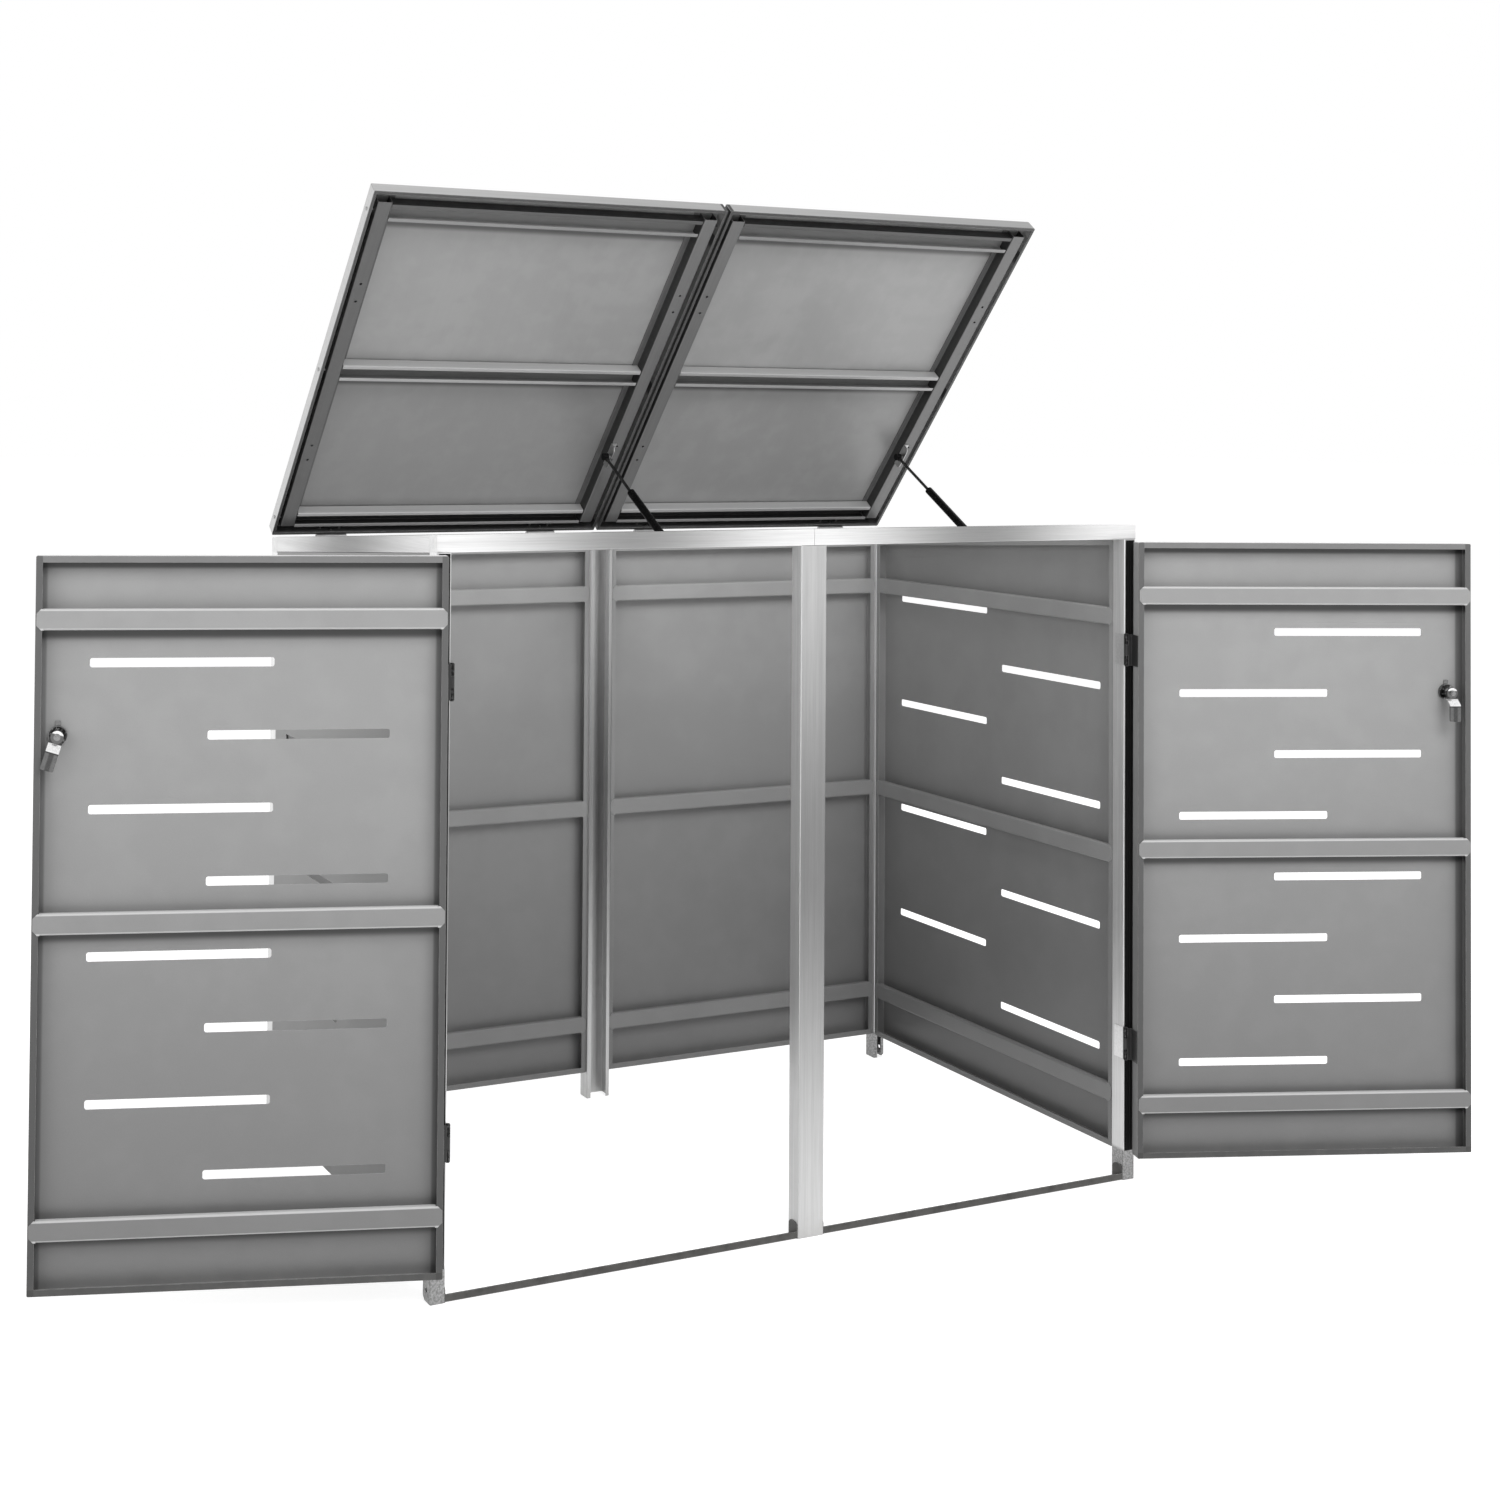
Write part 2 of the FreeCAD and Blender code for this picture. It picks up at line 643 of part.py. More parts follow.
def door_hinge():
    """Leaves of the left door's hinge with the door shut: the post's, the door's, the pin.

    The pin stands before the post's inner edge. The door's leaf steps across the gap to it."""
    length = DOOR_HINGE_LENGTH
    half = length / 2.0
    reach = DOOR_PIN_FORWARD + DOOR_LEAF_REACH
    post_plate = block(0.0, DOOR_LEAF, 0.0, reach, -half, half)
    step = DOOR_PIN_FORWARD - DOOR_LEAF_FORWARD
    line = DOOR_HINGE_GAP - DOOR_LEAF / 2.0
    door_plate = folded([(0.0, step), (line, step), (line, reach)], "xy", -half, length,
                        DOOR_LEAF, BEND)
    return (leaf(length, DOOR_KNUCKLE_RADIUS, "outer", post_plate),
            leaf(length, DOOR_KNUCKLE_RADIUS, "middle", door_plate),
            hinge_pin(length))


def door_hinge_heights():
    return (DOOR_BOTTOM + DOOR_HINGE_FROM_EDGE, DOOR_BOTTOM + DOOR_HEIGHT - DOOR_HINGE_FROM_EDGE)


# Doors, made shut on the left and then swung open about their pins

def lock_parts(x, z):
    """Housing with its collar, tabbed ring nut, and the turning plug with its cam, door shut."""
    def on_axis(y):
        return Vector(x, FRONT + y, z)

    barrel = union([rod(LOCK_BARREL_RADIUS, on_axis(0.0), on_axis(LOCK_BARREL_LENGTH)),
                    rod(LOCK_COLLAR_RADIUS, on_axis(-LOCK_COLLAR), on_axis(0.0))])
    bore = rod(PLUG_RADIUS + PLUG_FIT, on_axis(-LOCK_COLLAR - 1.0), on_axis(LOCK_BARREL_LENGTH + 1.0))
    housing = barrel.cut(bore)
    nut = rod(LOCK_NUT_RADIUS, on_axis(SHEET), on_axis(SHEET + LOCK_NUT))
    tab = block(x - LOCK_TAB_WIDTH / 2.0, x + LOCK_TAB_WIDTH / 2.0, FRONT + SHEET,
                FRONT + SHEET + LOCK_TAB, z, z + LOCK_TAB_REACH)
    nut = union([nut, tab])
    nut = nut.cut(rod(LOCK_BARREL_RADIUS + LOCK_HOLE_FIT, on_axis(0.0), on_axis(SHEET + LOCK_NUT + 1.0)))

    plug = rod(PLUG_RADIUS, on_axis(-LOCK_COLLAR), on_axis(LOCK_BARREL_LENGTH + PLUG_PROUD))
    keyway = block(x - KEYWAY_WIDTH / 2.0, x + KEYWAY_WIDTH / 2.0, FRONT - LOCK_COLLAR - 1.0,
                   FRONT - LOCK_COLLAR + KEYWAY_DEPTH, z - KEYWAY_LENGTH / 2.0, z + KEYWAY_LENGTH / 2.0)
    plug = plug.cut(keyway)
    y0 = LOCK_BARREL_LENGTH + PLUG_PROUD
    mid = FRONT + y0 + CAM_SHEET / 2.0
    far = mid + CAM_CRANK_OFFSET
    top = z + CAM_WIDTH / 2.0
    path = [(mid, top), (mid, z - CAM_CRANK_START), (far, z - CAM_CRANK_END), (far, z - CAM_LENGTH)]
    arm = folded(path, "yz", x - CAM_WIDTH / 2.0, CAM_WIDTH, CAM_SHEET, BEND)
    half = CAM_WIDTH / 2.0
    shape = [(x - half, z - CAM_LENGTH), (x + half, z - CAM_LENGTH), (x + half, top), (x - half, top)]
    radii = [CAM_SHEET, CAM_SHEET, half - 0.01, half - 0.01]
    arm = arm.common(rounded_prism(shape, radii, "xz", FRONT, 2.0 * PAN_DEPTH))
    hole = rod(CAM_STUD_RADIUS + PLUG_FIT, on_axis(y0 - 1.0), on_axis(y0 + CAM_SHEET + 1.0))
    arm = arm.cut(hole)
    stud_end = y0 + CAM_SHEET + CAM_NUT
    stud = rod(CAM_STUD_RADIUS, on_axis(y0 - 1.0), on_axis(stud_end))
    cam_nut = Part.Face(Part.makePolygon([on_axis(y0 + CAM_SHEET) + Vector(
        CAM_NUT_RADIUS * math.cos(math.radians(60 * k)), 0,
        CAM_NUT_RADIUS * math.sin(math.radians(60 * k))) for k in range(7)]))
    cam_nut = cam_nut.extrude(Vector(0, CAM_NUT - 1.0, 0))
    plug = union([plug, stud])
    cam_nut = cam_nut.cut(rod(CAM_STUD_RADIUS + PLUG_FIT, on_axis(y0), on_axis(stud_end + 1.0)))
    return housing, nut, plug, arm, cam_nut


def shut_door(cam_turn):
    """The left door's pieces when shut, by name, its cam turned from straight down."""
    outline = [(0.0, 0.0), (DOOR_WIDTH, 0.0), (DOOR_WIDTH, DOOR_HEIGHT), (0.0, DOOR_HEIGHT)]
    free_column = DOOR_WIDTH - SLOT_FREE_EDGE - SLOT_LENGTH
    cutters = slot_rows(slot_top(DOOR_HEIGHT), (free_column, SLOT_HINGE_EDGE))
    lock_x = DOOR_WIDTH - LOCK_FROM_EDGE
    lock_z = DOOR_HEIGHT - LOCK_BELOW_TOP
    lock_hole = rod(LOCK_BARREL_RADIUS + LOCK_HOLE_FIT, Vector(lock_x, -1.0, lock_z),
                    Vector(lock_x, SHEET + 1.0, lock_z))
    pan = tray(outline, PAN_DEPTH, PAN_LIP).cut(cutters).cut(lock_hole)

    def place(shape):
        return moved(shape, DOOR_LEFT, FRONT, DOOR_BOTTOM)

    ribs = [place(stiffener(DOOR_WIDTH, z)) for z in stiffener_heights(0.0, DOOR_HEIGHT)]
    housing, nut, plug, arm, cam_nut = lock_parts(DOOR_LEFT + lock_x, DOOR_BOTTOM + lock_z)
    centre = Vector(DOOR_LEFT + lock_x, FRONT, DOOR_BOTTOM + lock_z)
    cam = [turned(shape, centre, Vector(0, -1, 0), cam_turn) for shape in (plug, arm, cam_nut)]
    door_leaf = door_hinge()[1]
    leaves = [moved(door_leaf, DOOR_PIN[0], DOOR_PIN[1], z) for z in door_hinge_heights()]
    return {"door_panel": [place(pan)], "door_stiffeners": ribs, "door_hinge_leaves": leaves,
            "door_lock_housing": [housing, nut], "door_lock_cam": cam}


def doors():
    pin = Vector(DOOR_PIN[0], DOOR_PIN[1], 0)
    other_pin = Vector(-DOOR_PIN[0], DOOR_PIN[1], 0)
    up = Vector(0, 0, 1)
    for name, shapes in shut_door(LEFT_CAM_TURN).items():
        keep(f"left_{name}", *[turned(s, pin, up, -LEFT_DOOR_OPEN) for s in shapes])
    for name, shapes in shut_door(0.0).items():
        keep(f"right_{name}", *[turned(mirrored(s), other_pin, up, RIGHT_DOOR_OPEN) for s in shapes])


def door_hinges_on_frame():
    post_leaf, unused, pin = door_hinge()
    leaves = []
    pins = []
    for z in door_hinge_heights():
        left_leaf = moved(post_leaf, DOOR_PIN[0], DOOR_PIN[1], z)
        left_pin = moved(pin, DOOR_PIN[0], DOOR_PIN[1], z)
        leaves += [left_leaf, mirrored(left_leaf)]
        pins += [left_pin, mirrored(left_pin)]
    keep("door_hinge_post_leaves", *leaves)
    keep("door_hinge_pins", *pins)


# Lids, made level with the rear bottom edge at the origin and the front towards -Y

def lid_to_open(shape, x):
    """Moves a lid piece to its bay and opens it about the hinge pins."""
    shape = moved(shape, x, LID_PIN_Y - LID_PIN_BEHIND, LID_PIN_Z + LID_PIN_BELOW)
    return turned(shape, Vector(0, LID_PIN_Y, LID_PIN_Z), Vector(1, 0, 0), -LID_OPEN)


def lid_hinge_centres():
    return (LID_HINGE_INSET, LID_WIDTH - LID_HINGE_INSET)


def lid_hinge():
    """Leaves about a pin along X, laid flat: the rail's hangs down, the lid's stands up."""
    half = LID_HINGE_LENGTH / 2.0
    y0 = -LID_PIN_BEHIND
    down = block(y0, y0 + LID_LEAF, -LID_LEAF_REACH, 0.0, -half, half)
    up = block(y0, y0 + LID_LEAF, 0.0, LID_LEAF_REACH, -half, half)
    rail = leaf(LID_HINGE_LENGTH, LID_KNUCKLE_RADIUS, "outer", down)
    lid = leaf(LID_HINGE_LENGTH, LID_KNUCKLE_RADIUS, "middle", up)
    laid = []
    for shape in (rail, lid, hinge_pin(LID_HINGE_LENGTH)):
        shape = turned(shape, Vector(0, 0, 0), Vector(1, 1, 1), 120.0)
        laid.append(shape)
    return laid


def leaf_screw_places(z_sign):
    """Screw places on one leaf, relative to the pin's middle."""
    far = LID_LEAF_REACH - LID_LEAF_SCREW_EDGE
    spread = LID_LEAF_SCREW_SPREAD
    return [(-spread, z_sign * far), (0.0, z_sign * LID_LEAF_SCREW_NEAR), (spread, z_sign * far)]


def rail_holes():
    """Distances of the bracket holes from the lid's rear edge."""
    return RAIL_HOLES_FROM_REAR + tuple(LID_LENGTH - d for d in RAIL_HOLES_FROM_FRONT)


def side_rail(x0):
    """A hat-shaped rail under the lid's edge, its crown facing down."""
    half = SHEET / 2.0
    outer = x0 + half
    inner = x0 + LID_RAIL_WIDTH - half
    crown = LID_RAIL_LIFT + half
    base = LID_SHEET_UNDERSIDE - half
    path = [(outer, LID_SHEET_UNDERSIDE), (outer, crown), (inner, crown), (inner, base),
            (inner + LID_RAIL_FLANGE, base)]
    length = LID_LENGTH - 2.0 * LID_RAIL_END_GAP
    rail = folded(path, "xz", -LID_LENGTH + LID_RAIL_END_GAP, length)
    x = x0 + LID_RAIL_WIDTH / 2.0
    for along_lid in rail_holes():
        start = Vector(x, -along_lid, 0.0)
        rail = rail.cut(rod(RAIL_HOLE_RADIUS, start, start + Vector(0, 0, LID_RAIL_LIFT + SHEET + 1.0)))
    return rail


def lid_channel(start):
    """A lipped channel across the lid, its mouth facing down, seated on the rails' flanges."""
    half = SHEET / 2.0
    s0 = start + half
    s1 = start + CHANNEL_WIDTH - half
    low = CHANNEL_LIFT + half
    base = LID_SHEET_UNDERSIDE - SHEET - half
    path = [(-s0 - CHANNEL_LIP, low), (-s0, low), (-s0, base), (-s1, base), (-s1, low),
            (-s1 + CHANNEL_LIP, low)]
    x0 = LID_RAIL_OFFSET + LID_RAIL_WIDTH + BEND + CHANNEL_END_GAP
    return folded(path, "yz", x0, LID_WIDTH - 2.0 * x0)


def lid_screw_places():
    """Screws through the two side lips, one at each channel's end."""
    spots = []
    z = LID_DEPTH / 2.0
    for start in CHANNEL_STARTS.values():
        y = -(start + CHANNEL_WIDTH / 2.0)
        spots.append((Vector(0.0, y, z), Vector(1, 0, 0), SIDE_SCREW_LENGTH))
        spots.append((Vector(LID_WIDTH, y, z), Vector(-1, 0, 0), SIDE_SCREW_LENGTH))
    return spots


def bracket_plane():
    """Where the upright leg of the strut bracket stands, in lid coordinates."""
    return LID_WIDTH - LID_RAIL_OFFSET - LID_RAIL_WIDTH


def strut_x():
    """The strut's plane, in lid coordinates."""
    return bracket_plane() - STRUT_PLANE_INSET


def lid_bracket():
    """An angle bracket on the right-hand rail's crown, with its ball stud."""
    x = bracket_plane()
    y0 = -RAIL_HOLES_FROM_REAR[1] - BRACKET_MARGIN
    y1 = -RAIL_HOLES_FROM_REAR[0] + BRACKET_MARGIN
    foot = block(x - BRACKET, x + BRACKET_FOOT, y0, y1, LID_RAIL_LIFT - BRACKET, LID_RAIL_LIFT)
    corners = [(y0, -BRACKET_DROP), (y1, -BRACKET_DROP), (y1, LID_RAIL_LIFT), (y0, LID_RAIL_LIFT)]
    radii = [BRACKET_MARGIN, BRACKET_MARGIN, 0.0, 0.0]
    leg = rounded_prism(corners, radii, "yz", x - BRACKET, BRACKET)
    bracket = union([foot, leg])
    for along_lid in RAIL_HOLES_FROM_REAR:
        spot = Vector(x + LID_RAIL_WIDTH / 2.0 - BRACKET_MARGIN, -along_lid, -BRACKET_DROP)
        bracket = bracket.cut(rod(SCREW_RADIUS, spot, spot + Vector(0, 0, 2.0 * BRACKET_DROP)))
    tip = strut_x() + SOCKET_LENGTH / 2.0 + OPEN_PIVOT_GAP
    centre = Vector(tip, -STRUT_STUD_ALONG, -STRUT_STUD_BELOW)
    root = Vector(x - BRACKET, -STRUT_STUD_ALONG, -STRUT_STUD_BELOW)
    return bracket, rod(BALL_RADIUS, centre, root)


def lid_pieces():
    outline = [(0.0, 0.0), (LID_WIDTH, 0.0), (LID_WIDTH, LID_LENGTH), (0.0, LID_LENGTH)]
    pan = tray(outline, LID_DEPTH, LID_HEM)
    pan = turned(pan, Vector(0, 0, 0), Vector(1, 0, 0), -90.0)
    pan = moved(pan, 0, -LID_LENGTH, LID_DEPTH)
    pieces = {"lid_cover": [pan.mirror(Vector(0, -LID_LENGTH / 2.0, 0), Vector(0, 1, 0))]}
    pieces["lid_left_rail"] = [side_rail(LID_RAIL_OFFSET)]
    right = side_rail(LID_RAIL_OFFSET).mirror(Vector(LID_WIDTH / 2.0, 0, 0), Vector(1, 0, 0))
    pieces["lid_right_rail"] = [right]
    for name, start in CHANNEL_STARTS.items():
        pieces[f"lid_{name}_channel"] = [lid_channel(start)]
    lid_leaf = moved(lid_hinge()[1], 0, LID_PIN_BEHIND, -LID_PIN_BELOW)
    pieces["lid_hinge_leaves"] = [moved(lid_leaf, x, 0, 0) for x in lid_hinge_centres()]
    pieces["lid_strut_bracket"] = list(lid_bracket())

    places = lid_screw_places()
    back = Vector(0, -1, 0)
    for x in lid_hinge_centres():
        for dx, up in leaf_screw_places(1.0):
            places.append((Vector(x + dx, LID_LEAF, up - LID_PIN_BELOW), back))
    holes = Part.makeCompound([screw_hole(*place) for place in places])
    for name in ("lid_cover", "lid_left_rail", "lid_right_rail", "lid_hinge_leaves"):
        pieces[name] = [shape.cut(holes) for shape in pieces[name]]
    pieces["lid_screws"] = [screw(*place) for place in places]
    return pieces


def lids():
    bays = {"left": LEFT, "right": LID_GAP / 2.0}
    for name, shapes in lid_pieces().items():
        for side, x in bays.items():
            keep(f"{side}_{name}", *[lid_to_open(shape, x) for shape in shapes])


def lid_hinges_on_frame():
    rail_leaf, unused, pin = lid_hinge()
    leaves = []
    pins = []
    screws = []
    for x0 in (LEFT, LID_GAP / 2.0):
        for x in lid_hinge_centres():
            cut_leaf = moved(rail_leaf, x0 + x, LID_PIN_Y, LID_PIN_Z)
            for dx, up in leaf_screw_places(-1.0):
                place = (Vector(x0 + x + dx, REAR + LID_LEAF, LID_PIN_Z + up), Vector(0, -1, 0))
                cut_leaf = cut_leaf.cut(screw_hole(*place))
                screws.append(place)
            leaves.append(cut_leaf)
            pins.append(moved(pin, x0 + x, LID_PIN_Y, LID_PIN_Z))
    keep("lid_hinge_rail_leaves", *leaves)
    keep("lid_hinge_pins", *pins)
    for side in ("left", "right"):
        name = f"rear_{side}_top_rail"
        holes = Part.makeCompound([screw_hole(*place) for place in screws])
        PARTS[name] = [PARTS[name][0].cut(holes)]
    keep("frame_screws", *[screw(*place) for place in screws])


# Gas struts

def strut_lower():
    """Centre of the frame's stud, in the same plane."""
    y = REAR - STRUT_LOWER_FROM_REAR
    return y, roof(y) - STRUT_LOWER_BELOW_ROOF


def strut_upper():
    """Centre of the lid's stud with the lid open, in the plane across the lid's hinge."""
    a = math.radians(LID_OPEN)
    s = STRUT_STUD_ALONG + LID_PIN_BEHIND
    h = LID_PIN_BELOW - STRUT_STUD_BELOW
    y = LID_PIN_Y - s * math.cos(a) + h * math.sin(a)
    z = LID_PIN_Z + s * math.sin(a) + h * math.cos(a)
    return y, z


def socket(direction):
    """A ball socket about the origin, its axis along X, with a neck along the strut."""
    half = SOCKET_LENGTH / 2.0
    cup = rod(SOCKET_RADIUS, Vector(-half, 0, 0), Vector(half, 0, 0))
    neck = rod(SOCKET_NECK_RADIUS, Vector(0, 0, 0), direction * STRUT_TUBE_START)
    return union([cup, neck])


def ball_stud(ball, root):
    """A ball turned in one piece with its shank, which runs along X to the root."""
    length = root.x - ball.x
    join = math.sqrt(BALL_RADIUS ** 2 - STUD_SHANK_RADIUS ** 2)
    pole = Vector(-BALL_RADIUS, 0, 0)
    top = Vector(0, BALL_RADIUS, 0)
    neck = Vector(join, STUD_SHANK_RADIUS, 0)
    shoulder = Vector(length, STUD_SHANK_RADIUS, 0)
    foot = Vector(length, 0, 0)
    profile = Part.Wire([Part.Arc(pole, top, neck).toShape(),
                         Part.LineSegment(neck, shoulder).toShape(),
                         Part.LineSegment(shoulder, foot).toShape(),
                         Part.LineSegment(foot, pole).toShape()])
    stud = Part.Face(profile).revolve(Vector(0, 0, 0), Vector(1, 0, 0), 360.0)
    return moved(stud, ball.x, ball.y, ball.z)


def strut(x):
    """The tube with its lower socket, and the rod with its piston and upper socket."""
    low_y, low_z = strut_lower()
    high_y, high_z = strut_upper()
    low = Vector(x, low_y, low_z)
    high = Vector(x, high_y, high_z)
    up = (high - low).normalize()
    tube_start = low + up * STRUT_TUBE_START
    tube_end = low + up * (STRUT_TUBE_START + STRUT_TUBE_LENGTH)
    tube = rod(STRUT_TUBE_RADIUS, tube_start, tube_end)
    inner = STRUT_TUBE_RADIUS - STRUT_TUBE_WALL
    chamber = rod(inner, tube_start + up * STRUT_END_CAP, tube_end - up * STRUT_END_CAP)
    gland = rod(STRUT_ROD_RADIUS + STRUT_ROD_FIT, tube_end - up * (STRUT_END_CAP + 1.0), tube_end + up)
    tube = tube.cut(chamber).cut(gland)
    lower = socket(up)
    lower.translate(low)
    room = BALL_RADIUS + BALL_CLEARANCE
    mouth = rod(room, low, low + Vector(SOCKET_LENGTH, 0, 0))
    lower = lower.cut(Part.makeSphere(room, low)).cut(mouth)
    piston_low = tube_end - up * (STRUT_PISTON_INSIDE + STRUT_PISTON_LENGTH)
    piston_high = tube_end - up * STRUT_PISTON_INSIDE
    shaft = union([rod(STRUT_ROD_RADIUS, piston_low, high - up * STRUT_TUBE_START),
                   rod(inner - BALL_CLEARANCE, piston_low, piston_high)])
    upper = socket(up * -1.0)
    upper.translate(high)
    return [tube, lower], [shaft, upper]


def struts():
    low_y, low_z = strut_lower()
    seats = {"left": (LEFT, BAY_RIGHT), "right": (LID_GAP / 2.0, -BAY_LEFT)}
    brackets = []
    for side, (lid_x, rail_x) in seats.items():
        x = lid_x + strut_x()
        tube, shaft = strut(x)
        keep(f"{side}_strut_tube", *tube)
        keep(f"{side}_strut_rod", *shaft)
        y0 = low_y - LOWER_BRACKET_WIDTH / 2.0
        y1 = low_y + LOWER_BRACKET_WIDTH / 2.0
        below = RAIL_HEIGHT - LOWER_BRACKET_INSET
        corners = [(y0, roof(y0) - below), (y1, roof(y1) - below),
                   (y1, roof(y1) - LOWER_BRACKET_INSET), (y0, roof(y0) - LOWER_BRACKET_INSET)]
        plate = rounded_prism(corners, [SLOT_CORNER] * 4, "yz", rail_x - BRACKET, BRACKET)
        root = Vector(rail_x - BRACKET, low_y, low_z)
        brackets += [plate, ball_stud(Vector(x, low_y, low_z), root)]
    keep("strut_lower_brackets", *brackets)


frame_posts()
frame_rails()
keep("left_threshold_bar", threshold(BAY_LEFT, BAY_RIGHT))
keep("right_threshold_bar", threshold(-BAY_RIGHT, -BAY_LEFT))
frame_panels()
door_hinges_on_frame()
doors()
lids()
lid_hinges_on_frame()
struts()

for name, shapes in PARTS.items():
    solids = [solid for shape in shapes for solid in shape.Solids]
    whole = solids[0] if len(solids) == 1 else Part.makeCompound(solids)
    whole.exportStep(f"parts/{name}.step")
    low, high = whole.BoundBox, whole.BoundBox
    print(f"{name}: {len(solids)} solids, x {low.XMin:.1f} to {high.XMax:.1f}, "
          f"y {low.YMin:.1f} to {high.YMax:.1f}, z {low.ZMin:.1f} to {high.ZMax:.1f}, "
          f"valid {whole.isValid()}")
print(f"{len(PARTS)} nodes")
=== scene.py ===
# %% [markdown]
# # A two-bay outdoor store in folded sheet metal
# The CAD model gives every panel, rail, hinge and gas strut of the store, in metres, standing as in
# the photograph: doors folded back, lids held open. This file gives that model its finishes, the black
# strips of painted shadow beside the doors, the studio and the camera. Each step is told first and
# done after.

# %% Load the frame
import json
import math
import bmesh
import bpy
from mathutils import Matrix, Vector


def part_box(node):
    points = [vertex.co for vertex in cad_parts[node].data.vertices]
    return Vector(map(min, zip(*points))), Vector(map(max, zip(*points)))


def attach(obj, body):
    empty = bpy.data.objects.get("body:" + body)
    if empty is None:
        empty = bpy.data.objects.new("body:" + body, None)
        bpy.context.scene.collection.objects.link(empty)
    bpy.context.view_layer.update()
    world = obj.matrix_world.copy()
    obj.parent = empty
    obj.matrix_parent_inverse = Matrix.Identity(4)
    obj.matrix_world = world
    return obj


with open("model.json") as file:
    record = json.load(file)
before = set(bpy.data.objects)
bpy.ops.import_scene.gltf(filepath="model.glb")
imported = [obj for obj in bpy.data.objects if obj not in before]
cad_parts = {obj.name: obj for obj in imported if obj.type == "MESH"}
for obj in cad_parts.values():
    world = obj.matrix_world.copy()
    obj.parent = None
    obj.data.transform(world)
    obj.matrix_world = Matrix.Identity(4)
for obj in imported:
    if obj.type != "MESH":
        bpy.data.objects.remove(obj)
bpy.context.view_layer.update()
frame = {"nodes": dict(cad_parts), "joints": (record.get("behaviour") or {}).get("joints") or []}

# %% [markdown]
# ## The camera
# The photograph was taken from the left, a little above door height, and the store sits low in the
# picture. A real photographer keeps the camera level so that posts stay upright, and slides the
# picture down with a shift lens. Blender's camera has the same shift, so the direction of view stays
# almost level here and the framing comes from shift_x and shift_y.

# %% Camera at the photograph's viewing angle
PHOTO_SIDE = 1500
FOCAL_PIXELS = 2021.7
OPTICAL_CENTRE = (430.0, 376.0)
CAMERA_PLACE = Vector((-1.9419, -2.8512, 1.3551))
TURN_RIGHT, LOOK_UP, ROLL = math.radians(23.46), math.radians(1.18), math.radians(0.54)
SENSOR_WIDTH = 36.0

ahead = Vector((math.sin(TURN_RIGHT) * math.cos(LOOK_UP), math.cos(TURN_RIGHT) * math.cos(LOOK_UP),
                math.sin(LOOK_UP)))
level_right = Vector((math.cos(TURN_RIGHT), -math.sin(TURN_RIGHT), 0.0))
level_up = level_right.cross(ahead)
right = level_right * math.cos(ROLL) + level_up * math.sin(ROLL)
up = level_up * math.cos(ROLL) - level_right * math.sin(ROLL)

camera_data = bpy.data.cameras.new("photograph_camera")
camera = bpy.data.objects.new("photograph_camera", camera_data)
bpy.context.scene.collection.objects.link(camera)
bpy.context.scene.camera = camera
camera_data.sensor_width = SENSOR_WIDTH
camera_data.lens = FOCAL_PIXELS * SENSOR_WIDTH / PHOTO_SIDE
camera_data.shift_x = 0.5 - OPTICAL_CENTRE[0] / PHOTO_SIDE
camera_data.shift_y = OPTICAL_CENTRE[1] / PHOTO_SIDE - 0.5
turn = Matrix((right, up, -ahead)).transposed()
camera.matrix_world = Matrix.Translation(CAMERA_PLACE) @ turn.to_4x4()
camera_data.clip_start, camera_data.clip_end = 0.05, 200.0
print("lens", round(camera_data.lens, 2))
print("shift", round(camera_data.shift_x, 3), round(camera_data.shift_y, 3))

# %% [markdown]
# ## Small helpers for node trees
# A material is a graph of nodes, and writing it out needs the same things again and again: add a
# node, fill its sockets, join two sockets, and turn one value into another. These helpers keep the
# later cells short, and their names say what each step is for.

# %% Helpers for node trees
def add(tree, kind, **settings):
    """Adds a node and sets its properties."""
    node = tree.nodes.new(kind)
    for key, value in settings.items():
        setattr(node, key, value)
    return node


def join(tree, source, target):
    tree.links.new(source, target)


def feed(tree, target, value):
    """Puts a number, a colour or another node's output into a socket."""
    if isinstance(value, bpy.types.NodeSocket):
        join(tree, value, target)
    else:
        target.default_value = value


def calculate(tree, operation, *values, clamp=False):
    """One Math node. Its inputs are numbers or other nodes' outputs."""
    node = add(tree, "ShaderNodeMath", operation=operation, use_clamp=clamp)
    for socket, value in zip(node.inputs, values):
        feed(tree, socket, value)
    return node.outputs[0]


def times(tree, first, second):
    return calculate(tree, "MULTIPLY", first, second)


def less(tree, first, second):
    return calculate(tree, "SUBTRACT", first, second)


def raised(tree, base, mask, by):
    """A base value, raised by as much as is given where the mask is 1."""
    return calculate(tree, "MULTIPLY_ADD", mask, by, base)


def spread(tree, value, low, high, to_low=0.0, to_high=1.0):
    """One Map Range node, clamped, with soft ends."""
    node = add(tree, "ShaderNodeMapRange", interpolation_type="SMOOTHSTEP")
    for name, number in (("From Min", low), ("From Max", high), ("To Min", to_low), ("To Max", to_high)):
        feed(tree, node.inputs[name], number)
    feed(tree, node.inputs["Value"], value)
    return node.outputs["Result"]


def beyond(tree, value, edge, fade):
    """1 where the value is past an edge and 0 before it, with a soft step twice the fade wide."""
    return spread(tree, value, edge - fade, edge + fade)


def short_of(tree, value, edge, fade):
    """1 where the value hasn't reached an edge and 0 past it."""
    return spread(tree, value, edge + fade, edge - fade)


def noise(tree, vector, scale, detail=2.0, roughness=0.5):
    node = add(tree, "ShaderNodeTexNoise")
    feed(tree, node.inputs["Vector"], vector)
    feed(tree, node.inputs["Scale"], scale)
    node.inputs["Detail"].default_value = detail
    node.inputs["Roughness"].default_value = roughness
    return node.outputs["Fac"]


# %% [markdown]
# ## Node groups
# An effect that several finishes share is built once as a node group: a small graph with named
# inputs and outputs. Each material then places the group and gives it values of its own, so that a
# change to the group reaches every finish.

